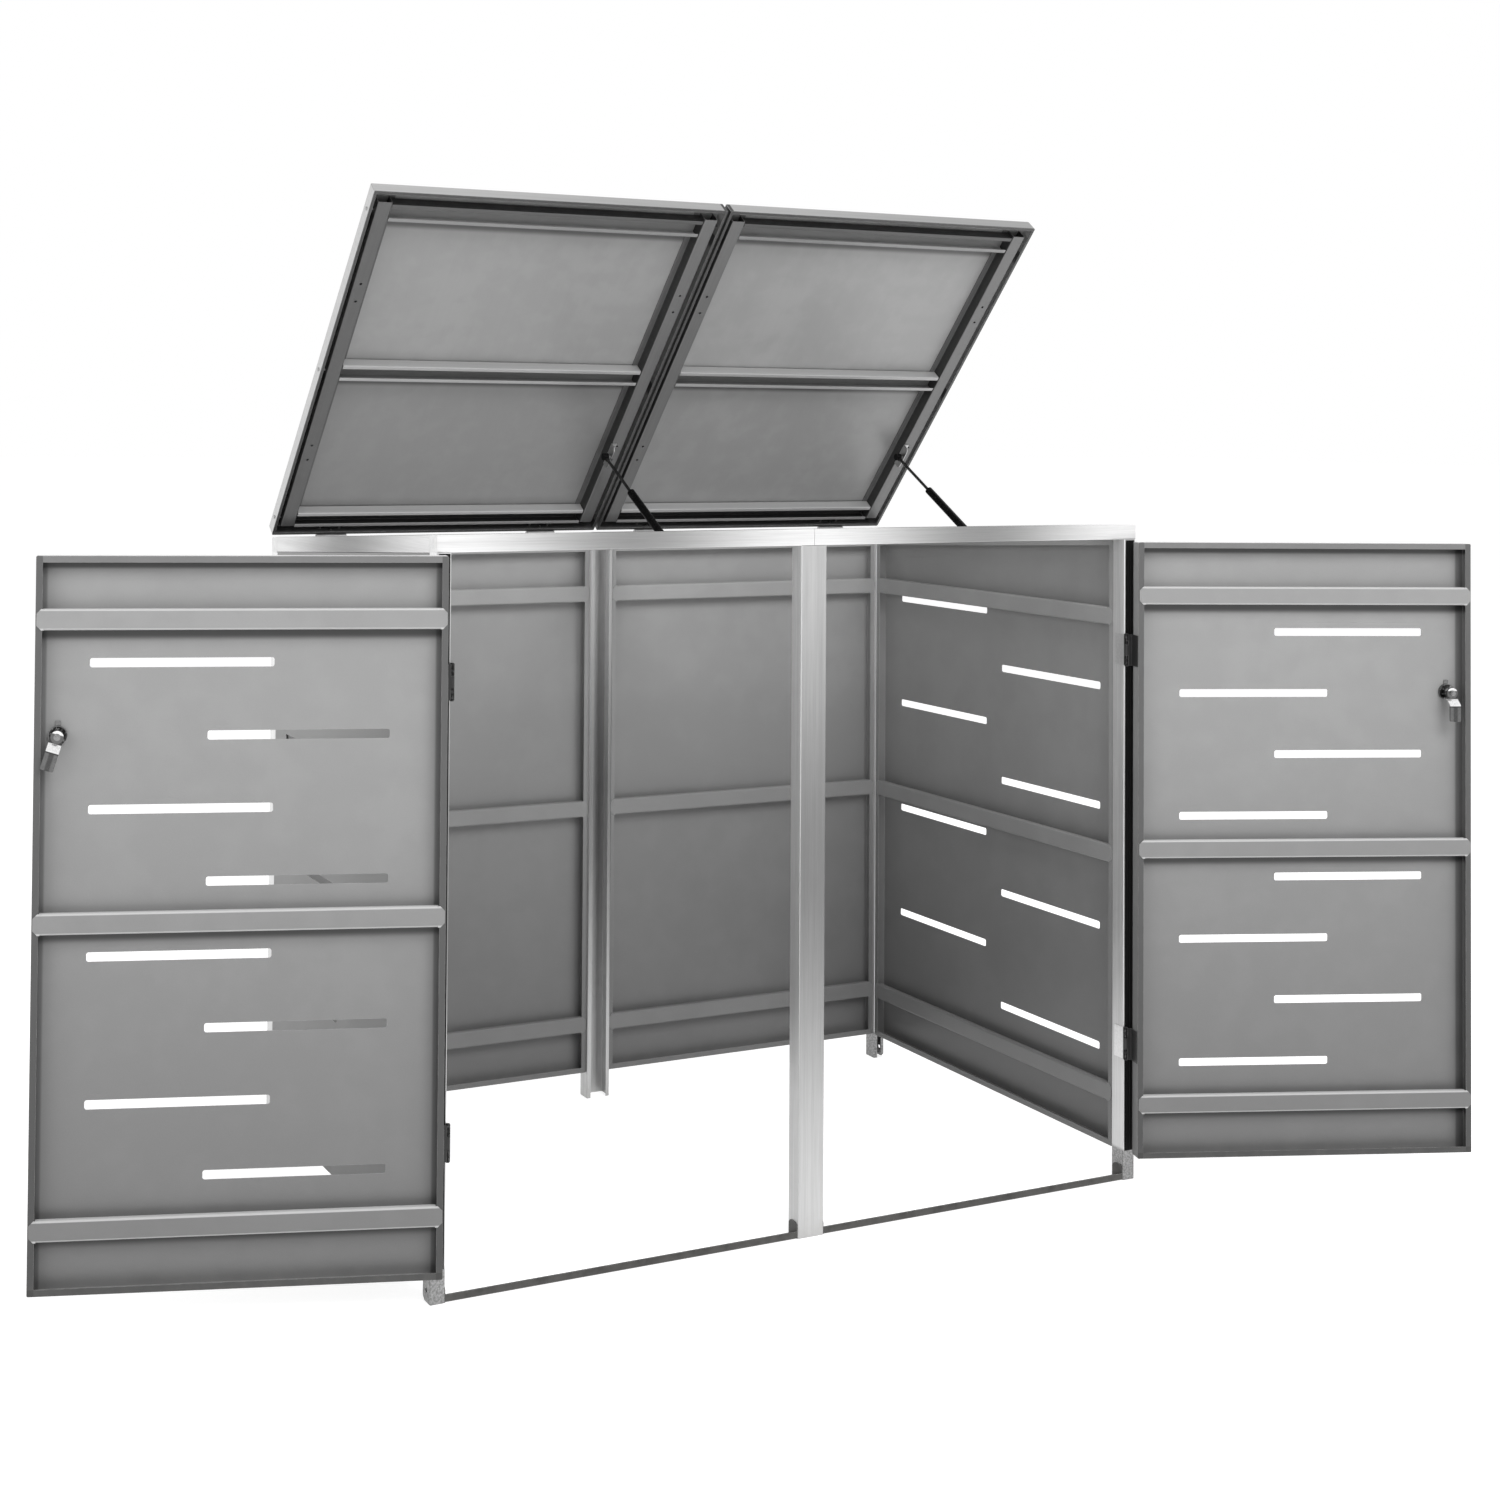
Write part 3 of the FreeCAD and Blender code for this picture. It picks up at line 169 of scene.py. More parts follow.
# %% Helpers for node groups
def new_group(name, inputs, outputs):
    """An empty shader node group. Returns the tree, its inputs and its outputs."""
    tree = bpy.data.node_groups.new(name, "ShaderNodeTree")
    for socket, default in inputs.items():
        kind = "NodeSocketVector" if default is None else "NodeSocketFloat"
        made = tree.interface.new_socket(socket, in_out="INPUT", socket_type=kind)
        if default is not None:
            made.default_value = default
    for socket in outputs:
        tree.interface.new_socket(socket, in_out="OUTPUT", socket_type="NodeSocketFloat")
    print("node group", name, "gives", ", ".join(outputs))
    return tree, add(tree, "NodeGroupInput").outputs, add(tree, "NodeGroupOutput").inputs


def place_group(tree, group, **values):
    """Puts a node group in a material and sets its inputs, each by its one-word name."""
    node = add(tree, "ShaderNodeGroup", node_tree=group)
    for name, value in values.items():
        feed(tree, node.inputs[name], value)
    return node.outputs


# %% [markdown]
# ## Brushed grain
# The frame is stainless steel, rubbed with an abrasive belt until it carries straight fine lines. Up
# close these are grooves, and from further away they are faint streaks of lighter and darker steel.
# A noise texture becomes streaks when its coordinates are squeezed along one axis, which draws its
# spots out. The group expects the grain to run along X, and each material turns its coordinates so.

# %% Node group: brushed grain
ALONG_GRAIN = 0.012
WIDE_LINES = 0.12

grain_group, given, made = new_group(
    "brushed_grain", {"Vector": None, "Fineness": 900.0}, ("Streaks", "Height"))
squeeze = add(grain_group, "ShaderNodeVectorMath", operation="MULTIPLY")
join(grain_group, given["Vector"], squeeze.inputs[0])
squeeze.inputs[1].default_value = (ALONG_GRAIN, 1.0, 1.0)
fine = noise(grain_group, squeeze.outputs[0], given["Fineness"], detail=3.0, roughness=0.65)
wide_scale = times(grain_group, given["Fineness"], WIDE_LINES)
wide = noise(grain_group, squeeze.outputs[0], wide_scale, detail=3.0, roughness=0.6)
half_fine, half_wide = (times(grain_group, lines, 0.5) for lines in (fine, wide))
join(grain_group, calculate(grain_group, "ADD", half_fine, half_wide), made["Streaks"])
join(grain_group, fine, made["Height"])

# %% [markdown]
# ## Slow change of tone: a painted reflection
# Every steel rail and post is bright at both ends and darker half way, because the brushed face
# mirrors the studio in a very blurred way. This group paints that reflection: it puts out a
# brightness from 0 to 1 that goes through one soft wave over each piece.

# %% Node group: slow tone, a painted reflection
reflection_wave_group, given, made = new_group(
    "slow_tone", {"Position": 0.0, "Start": 0.0, "Length": 1.0}, ("Brightness",))
from_start = less(reflection_wave_group, given["Position"], given["Start"])
turns = calculate(reflection_wave_group, "DIVIDE", from_start, given["Length"])
wave = calculate(reflection_wave_group, "COSINE", times(reflection_wave_group, turns, 2.0 * math.pi))
join(reflection_wave_group, raised(reflection_wave_group, 0.5, wave, by=0.5), made["Brightness"])

# %% [markdown]
# ## Edge wear
# Where sheet is cut or folded, hands and gaskets polish the edge. The Bevel node rounds the shading
# normal near an edge, and the angle between that normal and the true one marks where the edge is.

# %% Node group: edge wear
FLAT_COSINE, EDGE_COSINE = 0.98, 0.85
WEAR_PATCH_SCALE = 60.0
WEAR_PATCH_VALUES = (0.35, 0.6)

wear_group, given, made = new_group(
    "edge_wear", {"Vector": None, "Radius": 0.0015, "Patchiness": 0.5}, ("Mask",))
soft_normal = add(wear_group, "ShaderNodeBevel", samples=3)
join(wear_group, given["Radius"], soft_normal.inputs["Radius"])
true_normal = add(wear_group, "ShaderNodeNewGeometry")
lean = add(wear_group, "ShaderNodeVectorMath", operation="DOT_PRODUCT")
join(wear_group, soft_normal.outputs[0], lean.inputs[0])
join(wear_group, true_normal.outputs["Normal"], lean.inputs[1])
edge = spread(wear_group, lean.outputs["Value"], FLAT_COSINE, EDGE_COSINE)
patches = noise(wear_group, given["Vector"], WEAR_PATCH_SCALE, detail=3.0, roughness=0.6)
lost = less(wear_group, spread(wear_group, patches, *WEAR_PATCH_VALUES), 1.0)
kept = raised(wear_group, 1.0, lost, by=given["Patchiness"])
join(wear_group, calculate(wear_group, "MULTIPLY", edge, kept, clamp=True), made["Mask"])

# %% [markdown]
# ## Smudges
# Large sheets are never equally clean. Wiping leaves soft cloudy marks that change the gloss more
# than the colour. Two noises of different size, multiplied, give clouds without a visible repeat.

# %% Node group: smudges
BREAKS_PER_CLOUD = 3.7
SMUDGE_VALUES = (0.12, 0.42)

smudge_group, given, made = new_group("smudges", {"Vector": None, "Size": 0.1}, ("Mask",))
scale = calculate(smudge_group, "DIVIDE", 1.0, given["Size"])
clouds = noise(smudge_group, given["Vector"], scale, detail=4.0, roughness=0.55)
break_scale = times(smudge_group, scale, BREAKS_PER_CLOUD)
breaks = noise(smudge_group, given["Vector"], break_scale)
both = times(smudge_group, clouds, breaks)
join(smudge_group, spread(smudge_group, both, *SMUDGE_VALUES), made["Mask"])

# %% [markdown]
# ## Orange peel
# Powder coat melts into a skin that is smooth but not flat: low bumps about two millimetres across,
# like the skin of an orange, and a scatter of finer specks. The bumps go to a Bump node's height.

# %% Node group: orange peel
SPECKS_PER_BUMP = 3.0
SPECK_VALUES = (0.4, 0.7)

peel_group, given, made = new_group("orange_peel", {"Vector": None, "Size": 0.002}, ("Height", "Specks"))
scale = calculate(peel_group, "DIVIDE", 1.0, given["Size"])
join(peel_group, noise(peel_group, given["Vector"], scale, detail=1.0, roughness=0.4), made["Height"])
speck_scale = times(peel_group, scale, SPECKS_PER_BUMP)
specks = noise(peel_group, given["Vector"], speck_scale, detail=2.0, roughness=0.7)
join(peel_group, spread(peel_group, specks, *SPECK_VALUES), made["Specks"])

# %% [markdown]
# ## Ground dust
# Rain throws dust and fine grit a hand's width up whatever stands on the ground. The mask fades
# with height, and noise breaks its upper border.

# %% Node group: ground dust
SPLASH_SCALE, SPLASH_DEPTH = 45.0, 1.1
DUST_ENDS, DUST_FULL = 1.25, 0.35

dust_group, given, made = new_group("ground_dust", {"Vector": None, "Height": 0.12}, ("Mask",))
split = add(dust_group, "ShaderNodeSeparateXYZ")
join(dust_group, given["Vector"], split.inputs[0])
level = calculate(dust_group, "DIVIDE", split.outputs["Z"], given["Height"])
splashes = noise(dust_group, given["Vector"], SPLASH_SCALE, detail=5.0, roughness=0.65)
ragged = calculate(dust_group, "ADD", level, times(dust_group, splashes, SPLASH_DEPTH))
join(dust_group, spread(dust_group, ragged, DUST_ENDS, DUST_FULL), made["Mask"])

# %% [markdown]
# ## Painted shade in the folds
# Shade falls where a skin meets a fold or passes behind a rib, and it is painted there. The group
# turns a distance from such a fold into a band that is full near it and fades away from it.

# %% Node group: painted fold shade
fold_shade_group, given, made = new_group("fold_grime", {"Gap": 0.0, "Full": 0.01, "Gone": 0.02}, ("Mask",))
band = spread(fold_shade_group, given["Gap"], given["Gone"], given["Full"])
ahead_of_fold = calculate(fold_shade_group, "GREATER_THAN", given["Gap"], 0.0)
join(fold_shade_group, times(fold_shade_group, band, ahead_of_fold), made["Mask"])

# %% [markdown]
# ## Where a point lies on a door or a lid
# A tilted lid has its own up and along, which differ from the room's. A Mapping node of type Texture
# undoes a turn about a pivot: it gives the place a point had when the lid was shut, measured from
# the hinge pin. Grain, tone and the line between inside and outside all come from that place.

# %% Coordinates for each finish
hinge_place = {joint["name"]: Vector(joint["pos_m"]) for joint in frame["joints"] if "pos_m" in joint}
LID_OPEN = math.radians(50.0)
LEFT_DOOR_OPEN = math.radians(196.5)
RIGHT_DOOR_OPEN = math.radians(161.0)


def object_place(tree):
    return add(tree, "ShaderNodeTexCoord").outputs["Object"]


def turned_back(tree, place, pivot, turned):
    """A place measured from a pivot, with the turn about that pivot undone."""
    node = add(tree, "ShaderNodeMapping", vector_type="TEXTURE")
    join(tree, place, node.inputs["Vector"])
    node.inputs["Location"].default_value = pivot
    node.inputs["Rotation"].default_value = turned
    return node.outputs[0]


def axes(tree, vector):
    node = add(tree, "ShaderNodeSeparateXYZ")
    join(tree, vector, node.inputs[0])
    return node.outputs


def vector_of(tree, *parts):
    node = add(tree, "ShaderNodeCombineXYZ")
    for socket, value in zip(node.inputs, parts):
        join(tree, value, socket)
    return node.outputs[0]


def door_place(side):
    """Coordinates on a shut door: x and y from its pin, z the height above the ground."""
    pin = hinge_place[f"{side}_door_hinge"]
    turned = -LEFT_DOOR_OPEN if side == "left" else RIGHT_DOOR_OPEN

    def maker(tree):
        return turned_back(tree, object_place(tree), Vector((pin.x, pin.y, 0.0)), (0, 0, turned))
    return maker


def grain_along(tree, vector, axis):
    """Coordinates whose X runs along the grain."""
    if axis == "X":
        return vector
    x, y, z = axes(tree, vector)
    return vector_of(tree, y, x, z) if axis == "Y" else vector_of(tree, z, x, y)


print("hinges", {name: [round(part, 3) for part in place] for name, place in hinge_place.items()})

# %% [markdown]
# ## Laying tones over each other
# A finish is built like a painter's: a base tone, then streaks that multiply it, then wear, dust and
# painted light and shade that cover it where a mask says so. Every one of these is a Mix node, so a
# few helpers with plain names can do them all. Bump nodes turn a height into relief in the same way
# everywhere.

# %% Helpers for colours
STREAK_VALUES = (0.3, 0.7)
CLOUD_VALUES = (0.2, 0.8)


def new_material(name):
    """A material with its node tree and its Principled BSDF."""
    material = bpy.data.materials.new(name)
    material.use_nodes = True
    return material, material.node_tree, material.node_tree.nodes["Principled BSDF"]


def grey(value):
    return (value, value, value, 1.0)


def blend_colours(tree, factor, first, second, mode="MIX"):
    node = add(tree, "ShaderNodeMix", data_type="RGBA", blend_type=mode)
    feed(tree, node.inputs["Factor"], factor)
    for socket, value in ((node.inputs[6], first), (node.inputs[7], second)):
        feed(tree, socket, grey(value) if isinstance(value, float) else value)
    return node.outputs[2]


def covered(tree, colour, mask, share, over):
    """The colour with another laid over it where the mask is 1, as thick as the share says."""
    return blend_colours(tree, times(tree, mask, share), colour, over)


def masked(tree, mask, off, on):
    """A value that goes from off to on as the mask goes from 0 to 1."""
    return spread(tree, mask, 0.0, 1.0, off, on)


def tinted(tree, colour, by):
    """The colour multiplied by a value."""
    return blend_colours(tree, 1.0, colour, by, "MULTIPLY")


def streaked(tree, colour, grain, least, most):
    """The colour with streaks of grain, from least to most times as bright."""
    return tinted(tree, colour, spread(tree, grain["Streaks"], *STREAK_VALUES, least, most))


def clouded(tree, cloud, least, most):
    """A tone or roughness that wanders from least to most with a noise."""
    return spread(tree, cloud, *CLOUD_VALUES, least, most)


def darken(tree, colour, mask, depth):
    """The colour, darker by depth where the mask is 1."""
    return tinted(tree, colour, masked(tree, mask, off=1.0, on=1.0 - depth))


def facing(tree, axis, least=0.6, most=0.8, either_way=False):
    """1 on faces that look along an axis of the room, 0 on the others."""
    normal = add(tree, "ShaderNodeNewGeometry").outputs["Normal"]
    lean = axes(tree, normal)["XYZ".index(axis)]
    if either_way:
        lean = calculate(tree, "ABSOLUTE", lean)
    return spread(tree, lean, least, most)


def bump(tree, shader, height, distance):
    node = add(tree, "ShaderNodeBump")
    feed(tree, node.inputs["Height"], height)
    node.inputs["Distance"].default_value = distance
    join(tree, node.outputs[0], shader.inputs["Normal"])


# %% [markdown]
# ## Brushed stainless steel for posts and rails
# The slow tone, a painted reflection, sets how light the steel is, streaks of grain lie over that,
# edges are a little brighter, and dust dulls the feet. Metallic stays at 0.7, because a full metal
# would mirror the white studio so strongly that the darker tones were lost. Each direction of grain
# is a material of its own, since the abrasive belt ran along the length of each piece. The legs of
# the posts, which look sideways, get painted light and shade of their own, darker towards the
# ground, and the top of the rear rail, which lies under the lids, gets a painted shade.

# %% Brushed steel
FOLD_RADIUS = 0.0012
STEEL_METALLIC = 0.7
STEEL_DUST = (0.42, 0.41, 0.39, 1.0)
WORN_FOOT_TOP, WORN_FOOT_FADE = 0.054, 0.004
REAR_HALF_STARTS, REAR_HALF_FADE = 0.35, 0.05


def brushed_steel(name, axis, start, length, bright=0.86, dark=0.30, worn_foot=0.0, painted_leg_light=None,
                  under_lid_shade=None):
    """Steel with its grain along an axis, and a painted reflection from bright to dark to bright over one
    length.
    """
    material, tree, shader = new_material(name)
    place = object_place(tree)
    x, y, z = axes(tree, place)
    along = {"X": x, "Y": y, "Z": z}[axis]
    # The slow tone is a painted reflection along the piece.
    tone = place_group(tree, reflection_wave_group, Position=along, Start=start, Length=length)["Brightness"]
    grain = place_group(tree, grain_group, Vector=grain_along(tree, place, axis))
    smudge = place_group(tree, smudge_group, Vector=place, Size=0.16)["Mask"]
    wear = place_group(tree, wear_group, Vector=place, Radius=FOLD_RADIUS, Patchiness=0.6)["Mask"]
    dust = place_group(tree, dust_group, Vector=place, Height=0.07)["Mask"]
    colour = blend_colours(tree, tone, dark, bright)
    # Faces that look sideways get painted light and shade, darker towards the ground.
    if painted_leg_light:
        leg = spread(tree, z, 0.0, length, *painted_leg_light)
        colour = blend_colours(tree, facing(tree, "X", either_way=True), colour, leg)
    # The top of the rear rail, under the lids, gets a painted shade.
    if under_lid_shade:
        rear_half = beyond(tree, y, REAR_HALF_STARTS, REAR_HALF_FADE)
        colour = covered(tree, colour, facing(tree, "Z"), rear_half, under_lid_shade)
    colour = streaked(tree, colour, grain, least=0.86, most=1.08)
    colour = covered(tree, colour, wear, share=0.35, over=0.92)
    colour = covered(tree, colour, dust, share=0.2, over=STEEL_DUST)
    if worn_foot:
        scuffs = noise(tree, place, scale=260.0, detail=4.0, roughness=0.7)
        mottle = spread(tree, scuffs, 0.35, 0.65, to_low=0.12, to_high=0.34)
        foot = short_of(tree, z, WORN_FOOT_TOP, WORN_FOOT_FADE)
        colour = covered(tree, colour, foot, worn_foot, mottle)
    join(tree, colour, shader.inputs["Base Color"])
    shader.inputs["Metallic"].default_value = STEEL_METALLIC
    gloss = raised(tree, 0.22, grain["Streaks"], by=0.16)
    gloss = raised(tree, gloss, smudge, by=0.07)
    join(tree, raised(tree, gloss, dust, by=0.25), shader.inputs["Roughness"])
    bump(tree, shader, grain["Height"], distance=0.00006)
    return material


STORE_HALF_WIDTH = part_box("front_right_top_rail")[1].x
STORE_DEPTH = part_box("rear_left_top_rail")[1].y
POST_START, POST_WAVE = -0.02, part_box("front_middle_post")[1].z * 1.08
rail_steel = brushed_steel("brushed_steel_cross_rails", "X", 0.0, STORE_HALF_WIDTH, under_lid_shade=0.07)
side_rail_steel = brushed_steel("brushed_steel_side_rails", "Y", 0.0, STORE_DEPTH)
post_steel = brushed_steel("brushed_steel_posts", "Z", POST_START, POST_WAVE, bright=0.53, dark=0.2,
                           painted_leg_light=(0.5, 1.0))
corner_steel = brushed_steel("brushed_steel_corner_posts", "Z", POST_START, POST_WAVE, bright=0.75,
                             worn_foot=0.9, painted_leg_light=(0.6, 0.95))
threshold_dark = brushed_steel("dark_threshold_steel", "X", 0.0, STORE_HALF_WIDTH, bright=0.03, dark=0.018)
print("store half width", round(STORE_HALF_WIDTH, 3), "depth", round(STORE_DEPTH, 3))

# %% [markdown]
# ## Lips, ribs and folds of the doors
# A door is a sheet folded into a shallow tray, stiffened by three ribs. Its narrow lips get a painted
# shade that makes them darker than the skin, a light line of painted highlight runs along each edge
# of a rib, and thin bands of painted shade lie under each rib and beside the folds. The places of all
# these are known from the CAD model, so masks made from coordinates put them exactly there, and they
# stay there when the door swings.

# %% Places on a door
PANEL_FOOT, PANEL_TOP = 0.05, 1.14
DOOR_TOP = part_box("left_door_panel")[1].z
DOOR_NEAR_EDGE, DOOR_FAR_EDGE = 0.010, 0.630
SHEET_MIDDLE = 0.0006
SKIN_FACE, LIP_FACE, FACE_FADE = 0.0056, 0.0285, 0.0002
LIP_WIDTH, LIP_FADE = 0.0101, 0.0003
FOOT_LIP_TOP = PANEL_FOOT + 0.0103
TOP_FOLD_DEPTH, TOP_FOLD_SOFT = 0.002, 0.001
RIB_HALF, RIB_EDGE, RIB_EDGE_FADE = 0.016, 0.0029, 0.0005
rib_low, rib_high = (corner.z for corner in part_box("left_door_stiffeners"))
RIB_HEIGHTS = (rib_low + RIB_HALF, (rib_low + rib_high) / 2.0, rib_high - RIB_HALF)
print("ribs at", [round(height, 3) for height in RIB_HEIGHTS], "door top", round(DOOR_TOP, 3))


def shade_band_at(tree, gap, full, gone):
    """A band of painted shade beside a fold, full up to one distance from it and gone at another."""
    return place_group(tree, fold_shade_group, Gap=gap, Full=full, Gone=gone)["Mask"]


def door_marks(tree, place, colour):
    """Painted shade on a door's lips and in its folds, and a painted highlight on its top fold."""
    x, y, z = axes(tree, place)
    from_pin = calculate(tree, "ABSOLUTE", x)
    from_side = calculate(tree, "MINIMUM", less(tree, from_pin, DOOR_NEAR_EDGE),
                          less(tree, DOOR_FAR_EDGE, from_pin))
    from_top = less(tree, DOOR_TOP, z)
    lip = beyond(tree, y, LIP_FACE, FACE_FADE)
    tray = less(tree, beyond(tree, y, SKIN_FACE, FACE_FADE), lip)
    skin = times(tree, tray, beyond(tree, from_side, SHEET_MIDDLE, FACE_FADE))
    # Painted shadow under the top fold and under each rib.
    under = shade_band_at(tree, from_top, full=0.0155, gone=0.024)
    for height in RIB_HEIGHTS:
        below = less(tree, height, z)
        under = calculate(tree, "MAXIMUM", under, shade_band_at(tree, below, full=0.0225, gone=0.038))
    # Painted shade beside the side folds.
    beside = shade_band_at(tree, from_side, full=0.0125, gone=0.019)
    colour = darken(tree, colour, times(tree, under, skin), depth=0.8)
    colour = darken(tree, colour, times(tree, beside, skin), depth=0.5)
    # The lips get a painted shade, deeper on the side lips and at the foot.
    side_lip = times(tree, lip, short_of(tree, from_side, LIP_WIDTH, LIP_FADE))
    colour = darken(tree, colour, lip, depth=0.42)
    colour = darken(tree, colour, side_lip, depth=0.45)
    at_foot = short_of(tree, z, FOOT_LIP_TOP, LIP_FADE)
    colour = darken(tree, colour, times(tree, lip, at_foot), depth=0.5)
    # The top fold, which faces up, gets a painted highlight.
    fold = times(tree, facing(tree, "Z"), short_of(tree, from_top, TOP_FOLD_DEPTH, TOP_FOLD_SOFT))
    return covered(tree, colour, fold, share=0.8, over=0.6)


def rib_edge_highlights(tree, place, colour):
    """A painted highlight along both edges of each stiffener, where the sheet turns over."""
    x, y, z = axes(tree, place)
    offsets = [calculate(tree, "ABSOLUTE", less(tree, z, height)) for height in RIB_HEIGHTS]
    nearest = offsets[0]
    for offset in offsets[1:]:
        nearest = calculate(tree, "MINIMUM", nearest, offset)
    # The light line on each edge is a painted highlight.
    line = beyond(tree, nearest, RIB_HALF - RIB_EDGE, RIB_EDGE_FADE)
    return covered(tree, colour, line, share=0.7, over=0.58)


# %% [markdown]
# ## Grey powder coat for doors, sides and back
# The panels are folded from sheet and coated grey. A coat is not a metal: its colour is the
# pigment's and only its gloss reflects. The grey is lighter near the top and darker near the ground,
# a painted shade, so the material blends two greys by height and then adds the painted shade and
# highlights of the doors.

# %% Powder-coated sheet
COAT_DUST = (0.30, 0.29, 0.27, 1.0)


def coated_sheet(name, place_maker, top, foot, marks=None):
    """Grey powder coat with a tone for the top and one for the foot, blended by height as a painted shade."""
    material, tree, shader = new_material(name)
    place = place_maker(tree)
    x, y, z = axes(tree, place)
    peel = place_group(tree, peel_group, Vector=place, Size=0.0022)
    smudge = place_group(tree, smudge_group, Vector=place, Size=0.22)["Mask"]
    wear = place_group(tree, wear_group, Vector=place, Radius=FOLD_RADIUS, Patchiness=0.8)["Mask"]
    dust = place_group(tree, dust_group, Vector=place, Height=0.12)["Mask"]
    # Darker towards the ground: a painted shade blended by height.
    colour = blend_colours(tree, spread(tree, z, PANEL_FOOT, PANEL_TOP), foot, top)
    colour = tinted(tree, colour, masked(tree, smudge, off=0.97, on=1.03))
    colour = tinted(tree, colour, masked(tree, peel["Specks"], off=0.975, on=1.02))
    if marks:
        colour = marks(tree, place, colour)
    colour = covered(tree, colour, wear, share=0.4, over=0.5)
    colour = covered(tree, colour, dust, share=0.18, over=COAT_DUST)
    join(tree, colour, shader.inputs["Base Color"])
    gloss = raised(tree, 0.38, smudge, by=0.08)
    gloss = raised(tree, gloss, wear, by=-0.1)
    join(tree, raised(tree, gloss, dust, by=0.25), shader.inputs["Roughness"])
    bump(tree, shader, peel["Height"], distance=0.00008)
    return material


left_door_coat = coated_sheet("grey_coat_left_door", door_place("left"), top=0.31, foot=0.17,
                              marks=door_marks)
right_door_coat = coated_sheet("grey_coat_right_door", door_place("right"), top=0.32, foot=0.17,
                               marks=door_marks)
rib_coat = coated_sheet("grey_coat_door_stiffeners", object_place, top=0.30, foot=0.175, marks=rib_edge_highlights)
wall_rib_coat = coated_sheet("grey_coat_wall_stiffeners", object_place, top=0.34, foot=0.19)
wall_coat = coated_sheet("grey_coat_walls", object_place, top=0.32, foot=0.16)
print("coats", [name for name in bpy.data.materials.keys() if "coat" in name])

# %% [markdown]
# ## The satin underside of a lid
# Each lid is one sheet folded down on four sides, with three channels and two rails under it. Its
# underside is a satin grey with painted light: brighter in the bay near the front than in the bay near
# the hinges, a little different on each lid, and with a band of painted shade behind each channel.
# Coordinates on the lid start at its left rear corner.

# %% Places and tones under a lid
LID_WIDTH, LID_LENGTH, LID_DEPTH = 0.687, 0.785, 0.025
PIN_BEHIND, PIN_BELOW = 0.0045, 0.0003
LID_LEFT_EDGE = {"left": -STORE_HALF_WIDTH, "right": 0.003}
CHANNEL_WIDTH = 0.036
CHANNEL_STARTS = {"rear": 0.017, "middle": 0.3744, "front": 0.7228}
BAY_LIMIT, BAY_FADE = 0.39, 0.03
REAR_BAY = (0.06, 0.36)
SHADE_REACH = 0.002
UNDER_PAINTED_LIGHT = {"left": (0.27, 0.29, 0.35), "right": (0.31, 0.35, 0.38)}


def lid_place(tree, side):
    """Coordinates on a lid: x from its left edge, y forwards from its rear edge, z up from its rim."""
    pin = hinge_place[f"{side}_lid_hinge"]
    shut = turned_back(tree, object_place(tree), Vector((0.0, pin.y, pin.z)), (-LID_OPEN, 0, 0))
    x, y, z = axes(tree, shut)
    return vector_of(tree, less(tree, x, LID_LEFT_EDGE[side]),
                     less(tree, -PIN_BEHIND, y), calculate(tree, "ADD", z, -PIN_BELOW))


def satin_under(tree, place, side):
    """Colour, roughness and grain height of a lid's underside."""
    x, y, z = axes(tree, place)
    grain = place_group(tree, grain_group, Vector=grain_along(tree, place, "Y"), Fineness=500.0)
    smudge = place_group(tree, smudge_group, Vector=place, Size=0.14)["Mask"]
    # The tones of the bays are painted light and shade: brighter in the front bay, darker near the hinges.
    at_hinges, half_way, at_front = UNDER_PAINTED_LIGHT[side]
    rear_bay = spread(tree, y, *REAR_BAY, at_hinges, half_way)
    colour = blend_colours(tree, beyond(tree, y, BAY_LIMIT, BAY_FADE), rear_bay, at_front)
    colour = streaked(tree, colour, grain, least=0.985, most=1.015)
    colour = tinted(tree, colour, masked(tree, smudge, off=0.96, on=1.03))
    # A band of painted shade behind each channel.
    for start in CHANNEL_STARTS.values():
        behind = less(tree, start + SHADE_REACH, y)
        colour = darken(tree, colour, shade_band_at(tree, behind, full=0.016, gone=0.034), depth=0.7)
    return colour, raised(tree, 0.34, smudge, by=0.1), grain["Height"]


print("channels start at", CHANNEL_STARTS)

# %% [markdown]
# ## The lid's sheet: bright outside, satin underneath
# Outside, the lid is brushed steel like the frame. One mesh can wear both finishes when the material
# knows which side of the sheet it is on: a point less than half the sheet's thickness from the lid's
# outer box is outside. The rim and the lips between the lids get a painted shade, and the front lip a
# painted reflection that runs darker along the lip.

# %% The lid's sheet
RIM_SHADE, TOP_TONE = 0.07, 0.62
RIM_HEIGHT, RIM_FADE = 0.00155, 0.00025
HALF_SHEET, HALF_SHEET_FADE = 0.0005, 0.0001
FRONT_LIP, FRONT_LIP_FADE = 0.002, 0.0002
FRONT_LIP_REFLECTION = {"left": (0.46, 0.38), "right": (0.42, 0.34)}
NEIGHBOUR_LIP, NEIGHBOUR_FADE = 0.007, 0.001
TOP_FOLD, TOP_FOLD_FADE = 0.0025, 0.0005


def outside_of_box(tree, x, y, z):
    """1 on the outer faces of a lid, by the distance to its box. The rim is not an outer face."""
    edge = None
    for value, far in ((x, LID_WIDTH), (y, LID_LENGTH), (z, LID_DEPTH)):
        gap = less(tree, far, value)
        if value is not z:
            gap = calculate(tree, "MINIMUM", gap, value)
        edge = gap if edge is None else calculate(tree, "MINIMUM", edge, gap)
    return short_of(tree, edge, HALF_SHEET, HALF_SHEET_FADE)


